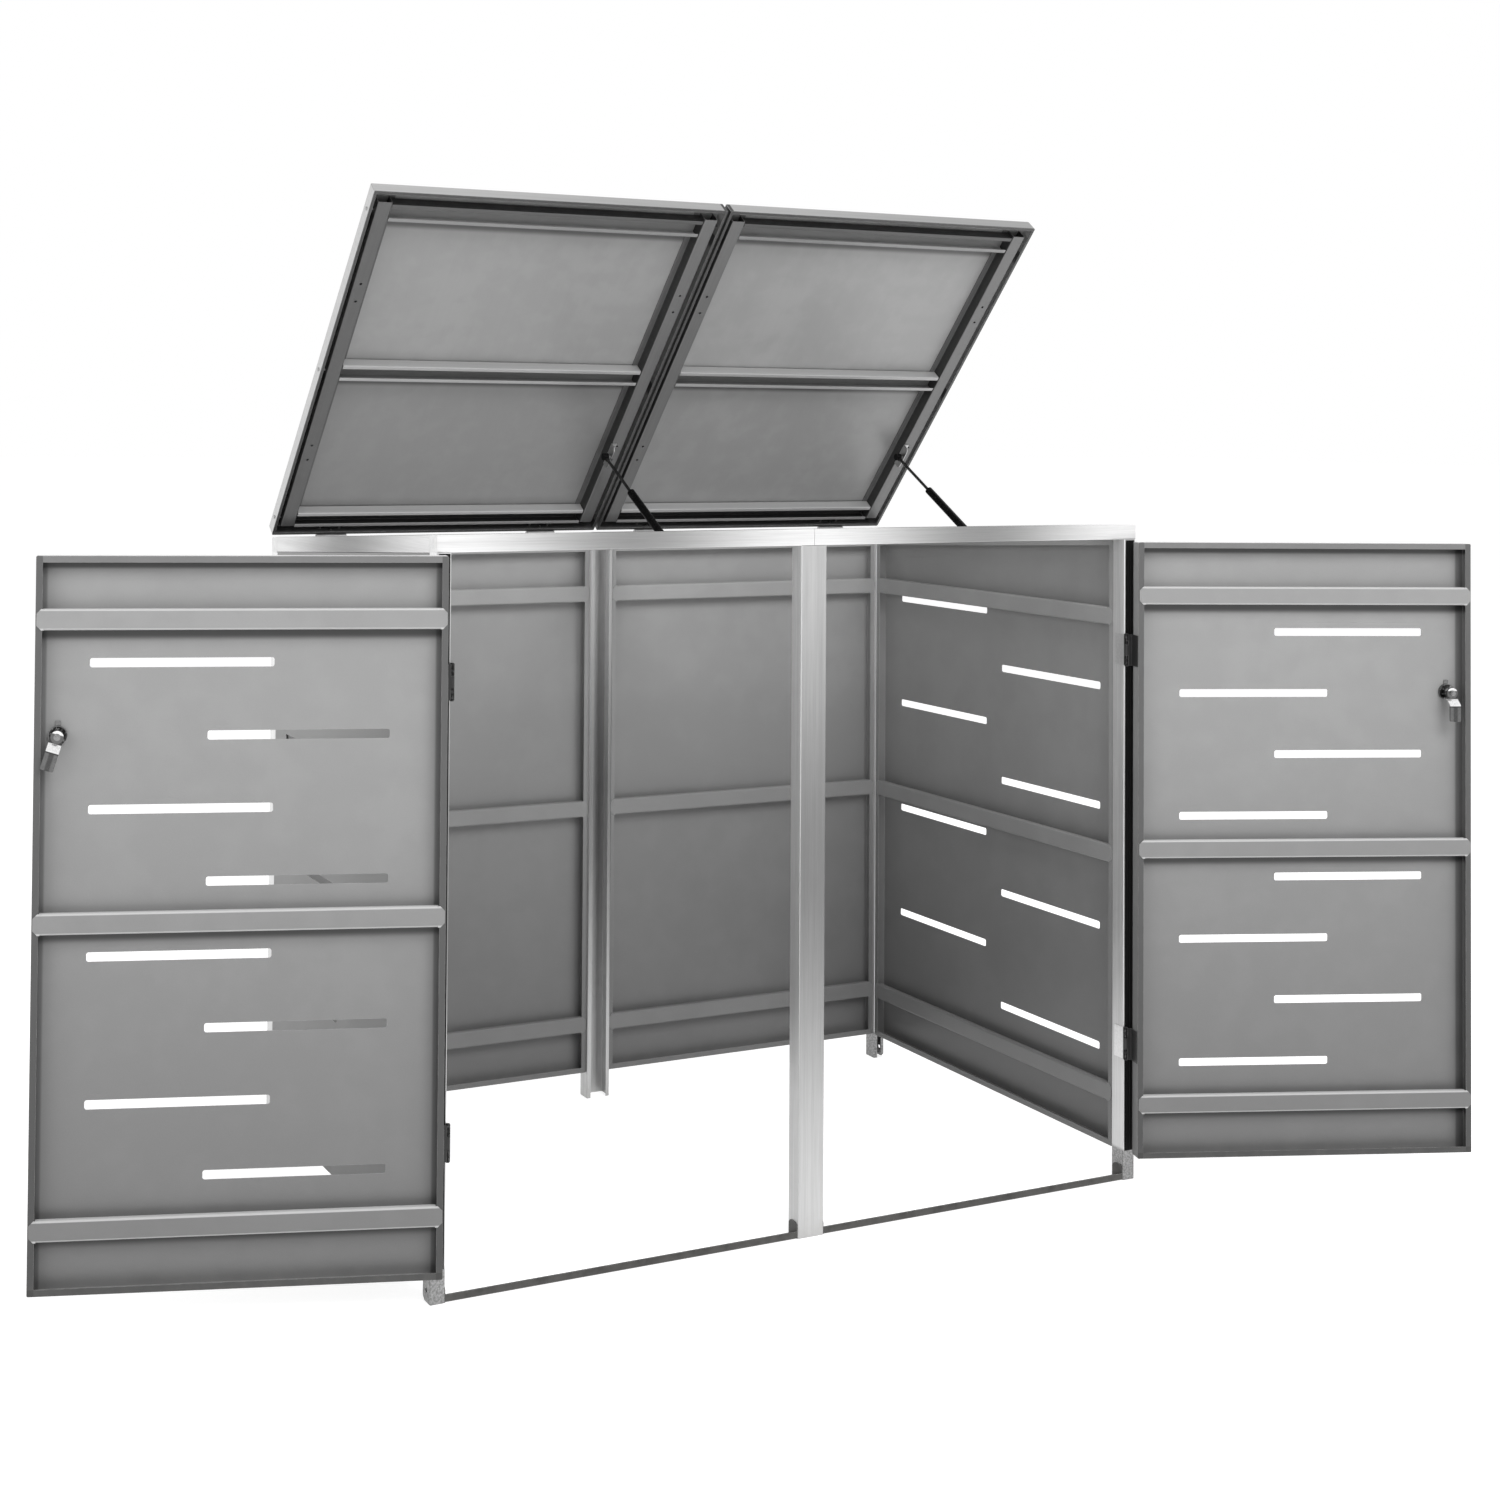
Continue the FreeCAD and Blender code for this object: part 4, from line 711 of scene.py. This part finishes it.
def bright_outside(tree, side, x, y, z, grain):
    """The colour of a lid's outer faces, with a painted reflection on the front lip and painted shade on the
    lips between the lids.
    """
    # The front lip gets a painted reflection that runs darker along it.
    along_lip = spread(tree, x, 0.0, LID_WIDTH, *FRONT_LIP_REFLECTION[side])
    on_front = beyond(tree, y, LID_LENGTH - FRONT_LIP, FRONT_LIP_FADE)
    bright = blend_colours(tree, on_front, TOP_TONE, along_lip)
    bright = streaked(tree, bright, grain, least=0.9, most=1.06)
    # The lips beside the other lid get a painted shade.
    if side == "left":
        near_other_lid = beyond(tree, x, LID_WIDTH - NEIGHBOUR_LIP, NEIGHBOUR_FADE)
    else:
        near_other_lid = short_of(tree, x, NEIGHBOUR_LIP, NEIGHBOUR_FADE)
    on_lip = short_of(tree, z, LID_DEPTH - TOP_FOLD, TOP_FOLD_FADE)
    return darken(tree, bright, times(tree, near_other_lid, on_lip), depth=0.85)


def lid_sheet(side):
    """The sheet of one lid, with both its sides."""
    material, tree, shader = new_material(f"lid_sheet_{side}")
    place = lid_place(tree, side)
    x, y, z = axes(tree, place)
    under, satin, height = satin_under(tree, place, side)
    outside = outside_of_box(tree, x, y, z)
    grain = place_group(tree, grain_group, Vector=place)
    wear = place_group(tree, wear_group, Vector=place, Radius=FOLD_RADIUS, Patchiness=0.6)["Mask"]
    colour = blend_colours(tree, outside, under, bright_outside(tree, side, x, y, z, grain))
    # The rim gets a painted shade.
    colour = blend_colours(tree, short_of(tree, z, RIM_HEIGHT, RIM_FADE), colour, RIM_SHADE)
    colour = covered(tree, colour, wear, share=0.35, over=0.85)
    join(tree, colour, shader.inputs["Base Color"])
    join(tree, masked(tree, outside, off=0.1, on=0.85), shader.inputs["Metallic"])
    brushed = raised(tree, 0.24, grain["Streaks"], by=0.16)
    rougher = less(tree, brushed, satin)
    join(tree, raised(tree, satin, rougher, by=outside), shader.inputs["Roughness"])
    bump(tree, shader, height, distance=0.00005)
    return material


lid_sheets = {side: lid_sheet(side) for side in ("left", "right")}
print("lid sheets", [material.name for material in lid_sheets.values()])

# %% [markdown]
# ## Rails and channels under a lid
# The two side rails are hat sections: a mid-grey crown between upright walls with a painted shade.
# The three cross channels lie open side down, each with lips in painted light round a web in painted
# shade. Each has painted light and shade of its own, because each turns its web to another part of
# the room, so a small function per piece gives the colour and one material maker does the rest.

# %% Rails and channels
CROWN_TONE, WALL_SHADE = 0.175, 0.04
LEFT_CROWN_TONES = {"left": 0.12, "right": CROWN_TONE}
BETWEEN_RAILS = (0.1, 0.2)
WEB_SHADE = {"rear": (0.04, 0.02), "middle": (0.28, 0.05), "front": (0.42, 0.12)}
CHANNEL_LIP_LIGHT = {"rear": (0.42, 0.42), "middle": (0.42, 0.42), "front": (0.28, 0.10)}
FRONT_WALL_LIGHT_AND_SHADE = {"rear": 0.36, "middle": 0.36, "front": 0.015}
WEB, OPENING = (0.004, CHANNEL_WIDTH - 0.010), (0.018, 0.020)
LIP_HEIGHT, LIP_HEIGHT_FADE = 0.0037, 0.0003
WALL_BACK, WALL_FADE = 0.0006, 0.0003


def rail_tones(side):
    """The crown of a side rail is mid grey and its upright walls get a painted shade."""
    def tones(tree, place):
        x, y, z = axes(tree, place)
        crown = spread(tree, x, *BETWEEN_RAILS, LEFT_CROWN_TONES[side], CROWN_TONE)
        # The upright walls get a painted shade.
        wall = facing(tree, "X", least=0.5, either_way=True)
        return blend_colours(tree, wall, crown, WALL_SHADE)
    return tones


def channel_tones(which):
    """The painted light and shade of a channel's web, lips and front wall, from the rear of its section to
    the front.
    """
    def tones(tree, place):
        x, y, z = axes(tree, place)
        across = less(tree, y, CHANNEL_STARTS[which])
        # The web gets a painted shade and the lips painted light; the front wall is painted light on the rear
        # and middle channels and a painted shadow on the front one.
        web = spread(tree, across, *WEB, *WEB_SHADE[which])
        lips = spread(tree, across, *OPENING, *CHANNEL_LIP_LIGHT[which])
        colour = blend_colours(tree, short_of(tree, z, LIP_HEIGHT, LIP_HEIGHT_FADE), web, lips)
        front_wall = beyond(tree, across, CHANNEL_WIDTH - WALL_BACK, WALL_FADE)
        return blend_colours(tree, front_wall, colour, FRONT_WALL_LIGHT_AND_SHADE[which])
    return tones


def folded_section(name, side, axis, tones, metallic):
    """A rail or channel under a lid. The function tones gives its colour from the place on the lid."""
    material, tree, shader = new_material(f"{name}_{side}")
    place = lid_place(tree, side)
    grain = place_group(tree, grain_group, Vector=grain_along(tree, place, axis))
    wear = place_group(tree, wear_group, Vector=place, Radius=FOLD_RADIUS, Patchiness=0.7)["Mask"]
    smudge = place_group(tree, smudge_group, Vector=place, Size=0.09)["Mask"]
    colour = streaked(tree, tones(tree, place), grain, least=0.92, most=1.07)
    colour = covered(tree, colour, wear, share=0.12, over=0.5)
    join(tree, colour, shader.inputs["Base Color"])
    shader.inputs["Metallic"].default_value = metallic
    join(tree, raised(tree, 0.32, smudge, by=0.1), shader.inputs["Roughness"])
    bump(tree, shader, grain["Height"], distance=0.00005)
    return material


lid_rails, lid_channels = {}, {}
for side in ("left", "right"):
    lid_rails[side] = folded_section("lid_rail", side, "Y", rail_tones(side), metallic=0.3)
    for which in CHANNEL_STARTS:
        lid_channels[side, which] = folded_section(
            f"lid_{which}_channel", side, "X", channel_tones(which), metallic=0.25)
print("lid sections", len(lid_rails) + len(lid_channels))

# %% [markdown]
# ## Plated fittings, dark paint and a black strip of painted shadow
# Brackets, screws and hinge leaves on the lids are zinc plated: a soft, slightly cloudy grey-white
# metal. The strut tubes are painted gloss black and the door hinges are blackened. A low specular
# level keeps black paint black in a white room, where any gloss picks up a veil of grey.

# %% Plated metal and dark paint
def plated_metal(name, tone, rough):
    """Zinc plating: cloudy, with brighter edges."""
    material, tree, shader = new_material(name)
    place = object_place(tree)
    cloud = noise(tree, place, scale=140.0, detail=4.0, roughness=0.6)
    smudge = place_group(tree, smudge_group, Vector=place, Size=0.03)["Mask"]
    wear = place_group(tree, wear_group, Vector=place, Radius=0.0006, Patchiness=0.5)["Mask"]
    colour = blend_colours(tree, cloud, tone * 0.82, tone * 1.1)
    colour = covered(tree, colour, wear, share=0.6, over=0.9)
    join(tree, colour, shader.inputs["Base Color"])
    shader.inputs["Metallic"].default_value = 1.0
    join(tree, raised(tree, rough, smudge, by=0.14), shader.inputs["Roughness"])
    bump(tree, shader, cloud, distance=0.00003)
    return material


def dark_paint(name, tone, rough, wear_tone, shine):
    """A dark coat, or the black strip of painted shadow, with a faint skin, paler where its edges are rubbed.
    """
    material, tree, shader = new_material(name)
    place = object_place(tree)
    peel = place_group(tree, peel_group, Vector=place, Size=0.0012)
    smudge = place_group(tree, smudge_group, Vector=place, Size=0.04)["Mask"]
    wear = place_group(tree, wear_group, Vector=place, Radius=0.0008, Patchiness=0.8)["Mask"]
    colour = blend_colours(tree, smudge, tone * 0.85, tone * 1.2)
    colour = covered(tree, colour, wear, share=0.5, over=wear_tone)
    join(tree, colour, shader.inputs["Base Color"])
    join(tree, raised(tree, rough, smudge, by=0.12), shader.inputs["Roughness"])
    shader.inputs["Specular IOR Level"].default_value = shine
    bump(tree, shader, peel["Height"], distance=0.00003)
    return material


zinc = plated_metal("zinc_plated_fittings", tone=0.5, rough=0.3)
strut_black = dark_paint("gloss_black_strut", tone=0.003, rough=0.25, wear_tone=0.03, shine=0.1)
hinge_black = dark_paint("blackened_hinge_steel", tone=0.02, rough=0.3, wear_tone=0.25, shine=0.4)
# Black for the strips of painted shadow beside the doors.
shadow_strip_black = dark_paint("black_rubber_seal", tone=0.004, rough=0.65, wear_tone=0.015, shine=0.15)
print("fittings", zinc.name, strut_black.name, hinge_black.name, shadow_strip_black.name)

# %% [markdown]
# ## Cam locks
# From inside, a lock shows the round end of its plug with a crescent of painted highlight, a dark ring
# nut with a tab, and a cam: a cranked step with a painted highlight, a line of painted shade under it,
# and then an arm in painted shade with two streaks. They are a few millimetres each, so the material
# measures from the lock's own axis and lays one tone per part. The left cam hangs at an angle, and
# its coordinates are turned with it.

# %% Cam locks
LOCK_FROM_PIN, LOCK_HEIGHT = 0.596, 0.874
CAM_TURNS = {"left": -math.radians(17.0), "right": 0.0}
CRANK_FOOT, ARM_START, CAM_FADE = 0.022, 0.024, 0.0005
ARM_STREAKS = (0.0025, 0.005)
PLUG_BOTTOM, PLUG_FADE = 0.0104, 0.0006
PLUG_RIM, STUD_EDGE = 0.00965, 0.0053
CRESCENT_HIGHLIGHT = (0.0035, 0.0050)
RING_INNER, RING_OUTER = 0.0089, 0.0136
RING_BACK, RING_FRONT, OUTER_COLLAR = 0.00565, 0.01145, 0.00505


def lock_axes(tree, side):
    """The place on a door as x, y, z from the lock's axis, with the cam's turn undone."""
    sign = 1.0 if side == "left" else -1.0
    pivot = (sign * LOCK_FROM_PIN, 0.0, LOCK_HEIGHT)
    return axes(tree, turned_back(tree, door_place(side)(tree), pivot, (0.0, CAM_TURNS[side], 0.0)))


def cam_colour(tree, x, down):
    """A crank with a painted highlight, a line of painted shade under it and an arm in painted shade with two
    darker streaks.
    """
    # The arm is in painted shade, and the crank has a painted highlight with a line of painted shade under
    # it.
    arm = spread(tree, calculate(tree, "ABSOLUTE", x), *ARM_STREAKS, to_low=0.08, to_high=0.15)
    crank_light_and_shade = blend_colours(tree, beyond(tree, down, CRANK_FOOT, CAM_FADE), 0.9, 0.05)
    return blend_colours(tree, beyond(tree, down, ARM_START, CAM_FADE), crank_light_and_shade, arm)


def plug_colour(tree, z, from_axis):
    """The end of the plug: a crescent of painted highlight above, a dark rim, and the stud in the middle."""
    # The crescent is a painted highlight.
    crescent_highlight = spread(tree, z, *CRESCENT_HIGHLIGHT, to_low=0.14, to_high=0.85)
    face = blend_colours(tree, beyond(tree, from_axis, PLUG_RIM, fade=0.00025), crescent_highlight, 0.06)
    return blend_colours(tree, short_of(tree, from_axis, STUD_EDGE, fade=0.0003), face, 0.28)


def plated_lock(side):
    """The lock seen from inside: dark ring nut and tab, a painted highlight on the crank, and an arm in
    painted shade with streaks.
    """
    material, tree, shader = new_material(f"plated_lock_{side}")
    x, y, z = lock_axes(tree, side)
    down = times(tree, z, -1.0)
    from_axis = calculate(tree, "SQRT", calculate(tree, "ADD", times(tree, x, x), times(tree, z, z)))
    cloud = noise(tree, door_place(side)(tree), scale=300.0, detail=3.0, roughness=0.6)
    colour = blend_colours(tree, short_of(tree, down, PLUG_BOTTOM, PLUG_FADE), cam_colour(tree, x, down),
                           plug_colour(tree, z, from_axis))
    ring = times(tree, short_of(tree, y, RING_FRONT, fade=0.00015),
                 beyond(tree, from_axis, RING_INNER, fade=0.0001))
    ring = times(tree, ring, beyond(tree, y, RING_BACK, fade=0.00015))
    flecks = spread(tree, cloud, 0.5, 0.7, to_low=0.03, to_high=0.3)
    nut_and_tab = blend_colours(tree, beyond(tree, from_axis, RING_OUTER, fade=0.0002), flecks, 0.2)
    colour = blend_colours(tree, ring, colour, nut_and_tab)
    colour = blend_colours(tree, short_of(tree, y, OUTER_COLLAR, fade=0.00015), colour, 0.6)
    colour = tinted(tree, colour, clouded(tree, cloud, least=0.85, most=1.1))
    join(tree, colour, shader.inputs["Base Color"])
    shader.inputs["Metallic"].default_value = 1.0
    join(tree, clouded(tree, cloud, least=0.16, most=0.3), shader.inputs["Roughness"])
    bump(tree, shader, cloud, distance=0.00002)
    return material


locks = {side: plated_lock(side) for side in ("left", "right")}
print("locks", [material.name for material in locks.values()])

# %% [markdown]
# ## Gas strut rods
# A strut's rod is ground steel, given a near-black tone as a painted shade, since it reads almost
# black against the light, and its upper end sits in a ball socket of black moulded plastic. Both are
# one CAD piece, so the distance to the socket's centre tells the plastic from the steel.

# %% Strut rods
SOCKET_RADIUS, SOCKET_REACH = 0.007, 0.0115


def strut_rod_finish(side):
    """The ground rod in painted shade, black plastic at its ball socket."""
    material, tree, shader = new_material(f"strut_rod_{side}")
    place = object_place(tree)
    low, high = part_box(f"{side}_strut_rod")
    socket = ((low.x + high.x) / 2.0, high.y - SOCKET_RADIUS, high.z - SOCKET_RADIUS)
    off = add(tree, "ShaderNodeVectorMath", operation="DISTANCE")
    join(tree, place, off.inputs[0])
    off.inputs[1].default_value = socket
    plastic = short_of(tree, off.outputs["Value"], SOCKET_REACH, fade=0.0003)
    cloud = noise(tree, place, scale=400.0, detail=3.0, roughness=0.6)
    # The steel's near-black tone is a painted shade.
    steel = clouded(tree, cloud, least=0.045, most=0.075)
    join(tree, blend_colours(tree, plastic, steel, 0.004), shader.inputs["Base Color"])
    join(tree, masked(tree, plastic, off=0.9, on=0.0), shader.inputs["Metallic"])
    join(tree, masked(tree, plastic, off=0.16, on=0.5), shader.inputs["Roughness"])
    shader.inputs["Specular IOR Level"].default_value = 0.12
    bump(tree, shader, cloud, distance=0.00001)
    return material


rods = {side: strut_rod_finish(side) for side in ("left", "right")}
print("rods", [material.name for material in rods.values()])

# %% [markdown]
# ## Hinge leaves on the corner posts
# The leaf that is screwed to a post is as bright as the post, and only the knuckles, which stand in
# front of the post's face in the shadow beside the door, are dark with a painted shade. The front of
# the store is the plane y = 0, so the sign of y tells the two apart.

# %% Leaves on the posts
def post_leaf_finish():
    """A hinge leaf as bright as its post, with the knuckles in front of the post's face in painted shade."""
    material, tree, shader = new_material("hinge_post_leaf")
    place = object_place(tree)
    x, y, z = axes(tree, place)
    cloud = noise(tree, place, scale=220.0, detail=4.0, roughness=0.6)
    steel = clouded(tree, cloud, least=0.72, most=0.86)
    # The dark knuckles are a painted shade.
    knuckle_shade = spread(tree, cloud, 0.45, 0.75, to_low=0.01, to_high=0.12)
    in_front = short_of(tree, y, edge=0.0, fade=0.0004)
    join(tree, blend_colours(tree, in_front, steel, knuckle_shade), shader.inputs["Base Color"])
    shader.inputs["Metallic"].default_value = 0.8
    join(tree, clouded(tree, cloud, least=0.3, most=0.42), shader.inputs["Roughness"])
    bump(tree, shader, cloud, distance=0.00003)
    return material


post_leaf = post_leaf_finish()
print("leaf", post_leaf.name)

# %% [markdown]
# ## Give every CAD node its finish
# A CAD node keeps its mesh and gets its look from the material slot. The table goes by the words
# in a node's name, from the most particular to the most general.

# %% Assign materials
FINISHES = [(f"{side}_lid_cover", lid_sheets[side]) for side in lid_sheets]
FINISHES += [(f"{side}_lid_{which}_channel", finish) for (side, which), finish in lid_channels.items()]
FINISHES += [(f"{side}_lid_{edge}_rail", lid_rails[side]) for side in lid_rails for edge in ("left", "right")]
FINISHES += [
    ("hinge_post_leaves", post_leaf), ("door_hinge", hinge_black), ("threshold", threshold_dark),
    ("door_stiffeners", rib_coat), ("stiffener", wall_rib_coat),
    ("side_top_rail", side_rail_steel), ("centre_top_rail", side_rail_steel), ("top_rail", rail_steel),
    ("middle_post", post_steel), ("_post", corner_steel),
    ("left_door_panel", left_door_coat), ("right_door_panel", right_door_coat), ("_panel", wall_coat),
    ("left_door_lock", locks["left"]), ("right_door_lock", locks["right"]), ("strut_tube", strut_black),
    ("left_strut_rod", rods["left"]), ("right_strut_rod", rods["right"]), ("", zinc),
]

for name, node in frame["nodes"].items():
    node.data.materials.clear()
    node.data.materials.append(next(finish for words, finish in FINISHES if words in name))
    node.data.update()
print("finishes in use", len({node.data.materials[0].name for node in frame["nodes"].values()}))

# %% [markdown]
# ## Black strips of painted shadow on the corner posts
# A narrow black strip runs down the front of each corner post beside the hinges, as long as the door.
# It stands for the shadow in the gap between the post and the open door: a painted shadow laid on the
# post. Its section is drawn once, with three soft ribs, and swept up the post by a bmesh loop, which
# is lighter and more exact than a modifier for so simple a form.

# %% Door shadow strips
STRIP_INNER, STRIP_OUTER, STRIP_THICK = 0.6675, 0.6865, 0.0011
STRIP_BOTTOM, STRIP_TOP = 0.052, 1.1455
STRIP_RIBS, POINTS_PER_RIB = 3, 6
STRIP_MARGIN = 0.04
SHOULDER = 0.55


def shadow_strip_section():
    """Points of the section as (x, y), from the inner edge round to the outer one."""
    points = [(STRIP_INNER, 0.0), (STRIP_INNER, -STRIP_THICK * SHOULDER)]
    steps = STRIP_RIBS * POINTS_PER_RIB
    for step in range(steps + 1):
        share = step / steps
        x = STRIP_INNER + (STRIP_OUTER - STRIP_INNER) * (STRIP_MARGIN + (1.0 - 2.0 * STRIP_MARGIN) * share)
        rise = 0.75 + 0.25 * math.cos(2.0 * math.pi * (share * STRIP_RIBS - 0.5))
        points.append((x, -STRIP_THICK * rise))
    return points + [(STRIP_OUTER, -STRIP_THICK * SHOULDER), (STRIP_OUTER, 0.0)]


def sweep_up(builder, side):
    """Adds one strip of painted shadow to a bmesh, on the side given by its sign."""
    foot, head = ([builder.verts.new((x * side, y, z)) for x, y in shadow_strip_section()]
                  for z in (STRIP_BOTTOM, STRIP_TOP))
    for k, corner in enumerate(foot):
        after = (k + 1) % len(foot)
        builder.faces.new((corner, foot[after], head[after], head[k]))
    builder.faces.new(foot)
    builder.faces.new(head)


# The strips stand for the shadow beside the doors: a painted shadow.
shadow_strip_mesh = bpy.data.meshes.new("door_seals")
builder = bmesh.new()
sweep_up(builder, -1.0)
sweep_up(builder, 1.0)
bmesh.ops.recalc_face_normals(builder, faces=builder.faces)
builder.to_mesh(shadow_strip_mesh)
builder.free()
shadow_strip_mesh.materials.append(shadow_strip_black)
door_seals = bpy.data.objects.new("door_seals", shadow_strip_mesh)
bpy.context.scene.collection.objects.link(door_seals)
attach(door_seals, "frame")
print("shadow strips", len(shadow_strip_mesh.vertices), "points")

# %% [markdown]
# ## Floor and studio light
# The store stands on a pale studio floor that runs out of sight. The camera sees floor and sky as
# white, and the floor still takes the store's shadow: towards the camera it adds a glow to a grey
# that the shadow can darken. A Light Path node tells camera and mirror rays from the light that the
# floor throws back, so that whiteness doesn't flood the store with light.

# %% Floor and sky
FLOOR_HALF, FLOOR_DROP = 60.0, 0.001
FLOOR_GREY, FLOOR_SHADE, FLOOR_GLOW = 0.8, 0.54, 0.78
SKY_LEVEL = 0.42


def seen_directly(tree):
    """1 for rays from the camera, a mirror or glass, 0 for rays that carry light."""
    path = add(tree, "ShaderNodeLightPath").outputs
    return calculate(tree, "MAXIMUM", path["Is Camera Ray"],
                     calculate(tree, "MAXIMUM", path["Is Glossy Ray"], path["Is Transmission Ray"]))


floor_mesh = bpy.data.meshes.new("studio_floor")
floor_builder = bmesh.new()
bmesh.ops.create_grid(floor_builder, x_segments=8, y_segments=8, size=FLOOR_HALF)
floor_builder.to_mesh(floor_mesh)
floor_builder.free()
floor = bpy.data.objects.new("studio_floor", floor_mesh)
bpy.context.scene.collection.objects.link(floor)
floor.location.z = -FLOOR_DROP

floor_finish, tree, shader = new_material("pale_studio_floor")
shader.inputs["Base Color"].default_value = grey(FLOOR_GREY)
shader.inputs["Roughness"].default_value = 1.0
shader.inputs["Specular IOR Level"].default_value = 0.0
lit = add(tree, "ShaderNodeBsdfDiffuse")
lit.inputs["Color"].default_value = grey(FLOOR_SHADE)
glow = add(tree, "ShaderNodeEmission")
glow.inputs["Color"].default_value = grey(1.0)
glow.inputs["Strength"].default_value = FLOOR_GLOW
both = add(tree, "ShaderNodeAddShader")
join(tree, lit.outputs[0], both.inputs[0])
join(tree, glow.outputs[0], both.inputs[1])
choose = add(tree, "ShaderNodeMixShader")
join(tree, seen_directly(tree), choose.inputs[0])
join(tree, shader.outputs[0], choose.inputs[1])
join(tree, both.outputs[0], choose.inputs[2])
join(tree, choose.outputs[0], tree.nodes["Material Output"].inputs["Surface"])
floor_mesh.materials.append(floor_finish)

world = bpy.data.worlds.new("studio_sky")
bpy.context.scene.world = world
world.use_nodes = True
tree = world.node_tree
sky = tree.nodes["Background"]
sky.inputs["Color"].default_value = grey(1.0)
strength = raised(tree, SKY_LEVEL, seen_directly(tree), by=1.0 - SKY_LEVEL)
join(tree, strength, sky.inputs["Strength"])
print("floor glow", FLOOR_GLOW, "sky level", SKY_LEVEL)

# %% [markdown]
# ## Soft boxes
# Four large area lamps stand for a photographer's soft boxes: a strong one in front and above, a
# weaker one overhead and one at each side. Large lamps give soft shadows. They are hidden from the
# camera and from reflections, so that the steel mirrors only the white room.

# %% Lamps
def soft_box(name, place, aim, size, watts):
    lamp_data = bpy.data.lights.new(name, "AREA")
    lamp_data.shape = "RECTANGLE"
    lamp_data.size, lamp_data.size_y = size
    lamp_data.energy = watts
    lamp = bpy.data.objects.new(name, lamp_data)
    bpy.context.scene.collection.objects.link(lamp)
    lamp.location = place
    lamp.rotation_euler = (Vector(aim) - Vector(place)).to_track_quat("-Z", "Y").to_euler()
    lamp.visible_camera = False
    lamp.visible_glossy = False
    print(name, watts, "watts")


soft_box("front_soft_box", place=(0.2, -4.2, 4.6), aim=(0, 0.1, 0.7), size=(3.6, 2.6), watts=230.0)
soft_box("top_soft_box", place=(0.2, 0.6, 4.8), aim=(0, 0.4, 0.5), size=(4.0, 4.0), watts=90.0)
soft_box("right_soft_box", place=(4.6, -0.8, 2.6), aim=(0, 0.4, 0.6), size=(2.6, 2.6), watts=50.0)
soft_box("left_soft_box", place=(-4.4, -1.2, 2.4), aim=(0.3, 0.2, 0.7), size=(2.6, 2.6), watts=60.0)
bpy.context.scene.view_settings.view_transform = "Standard"
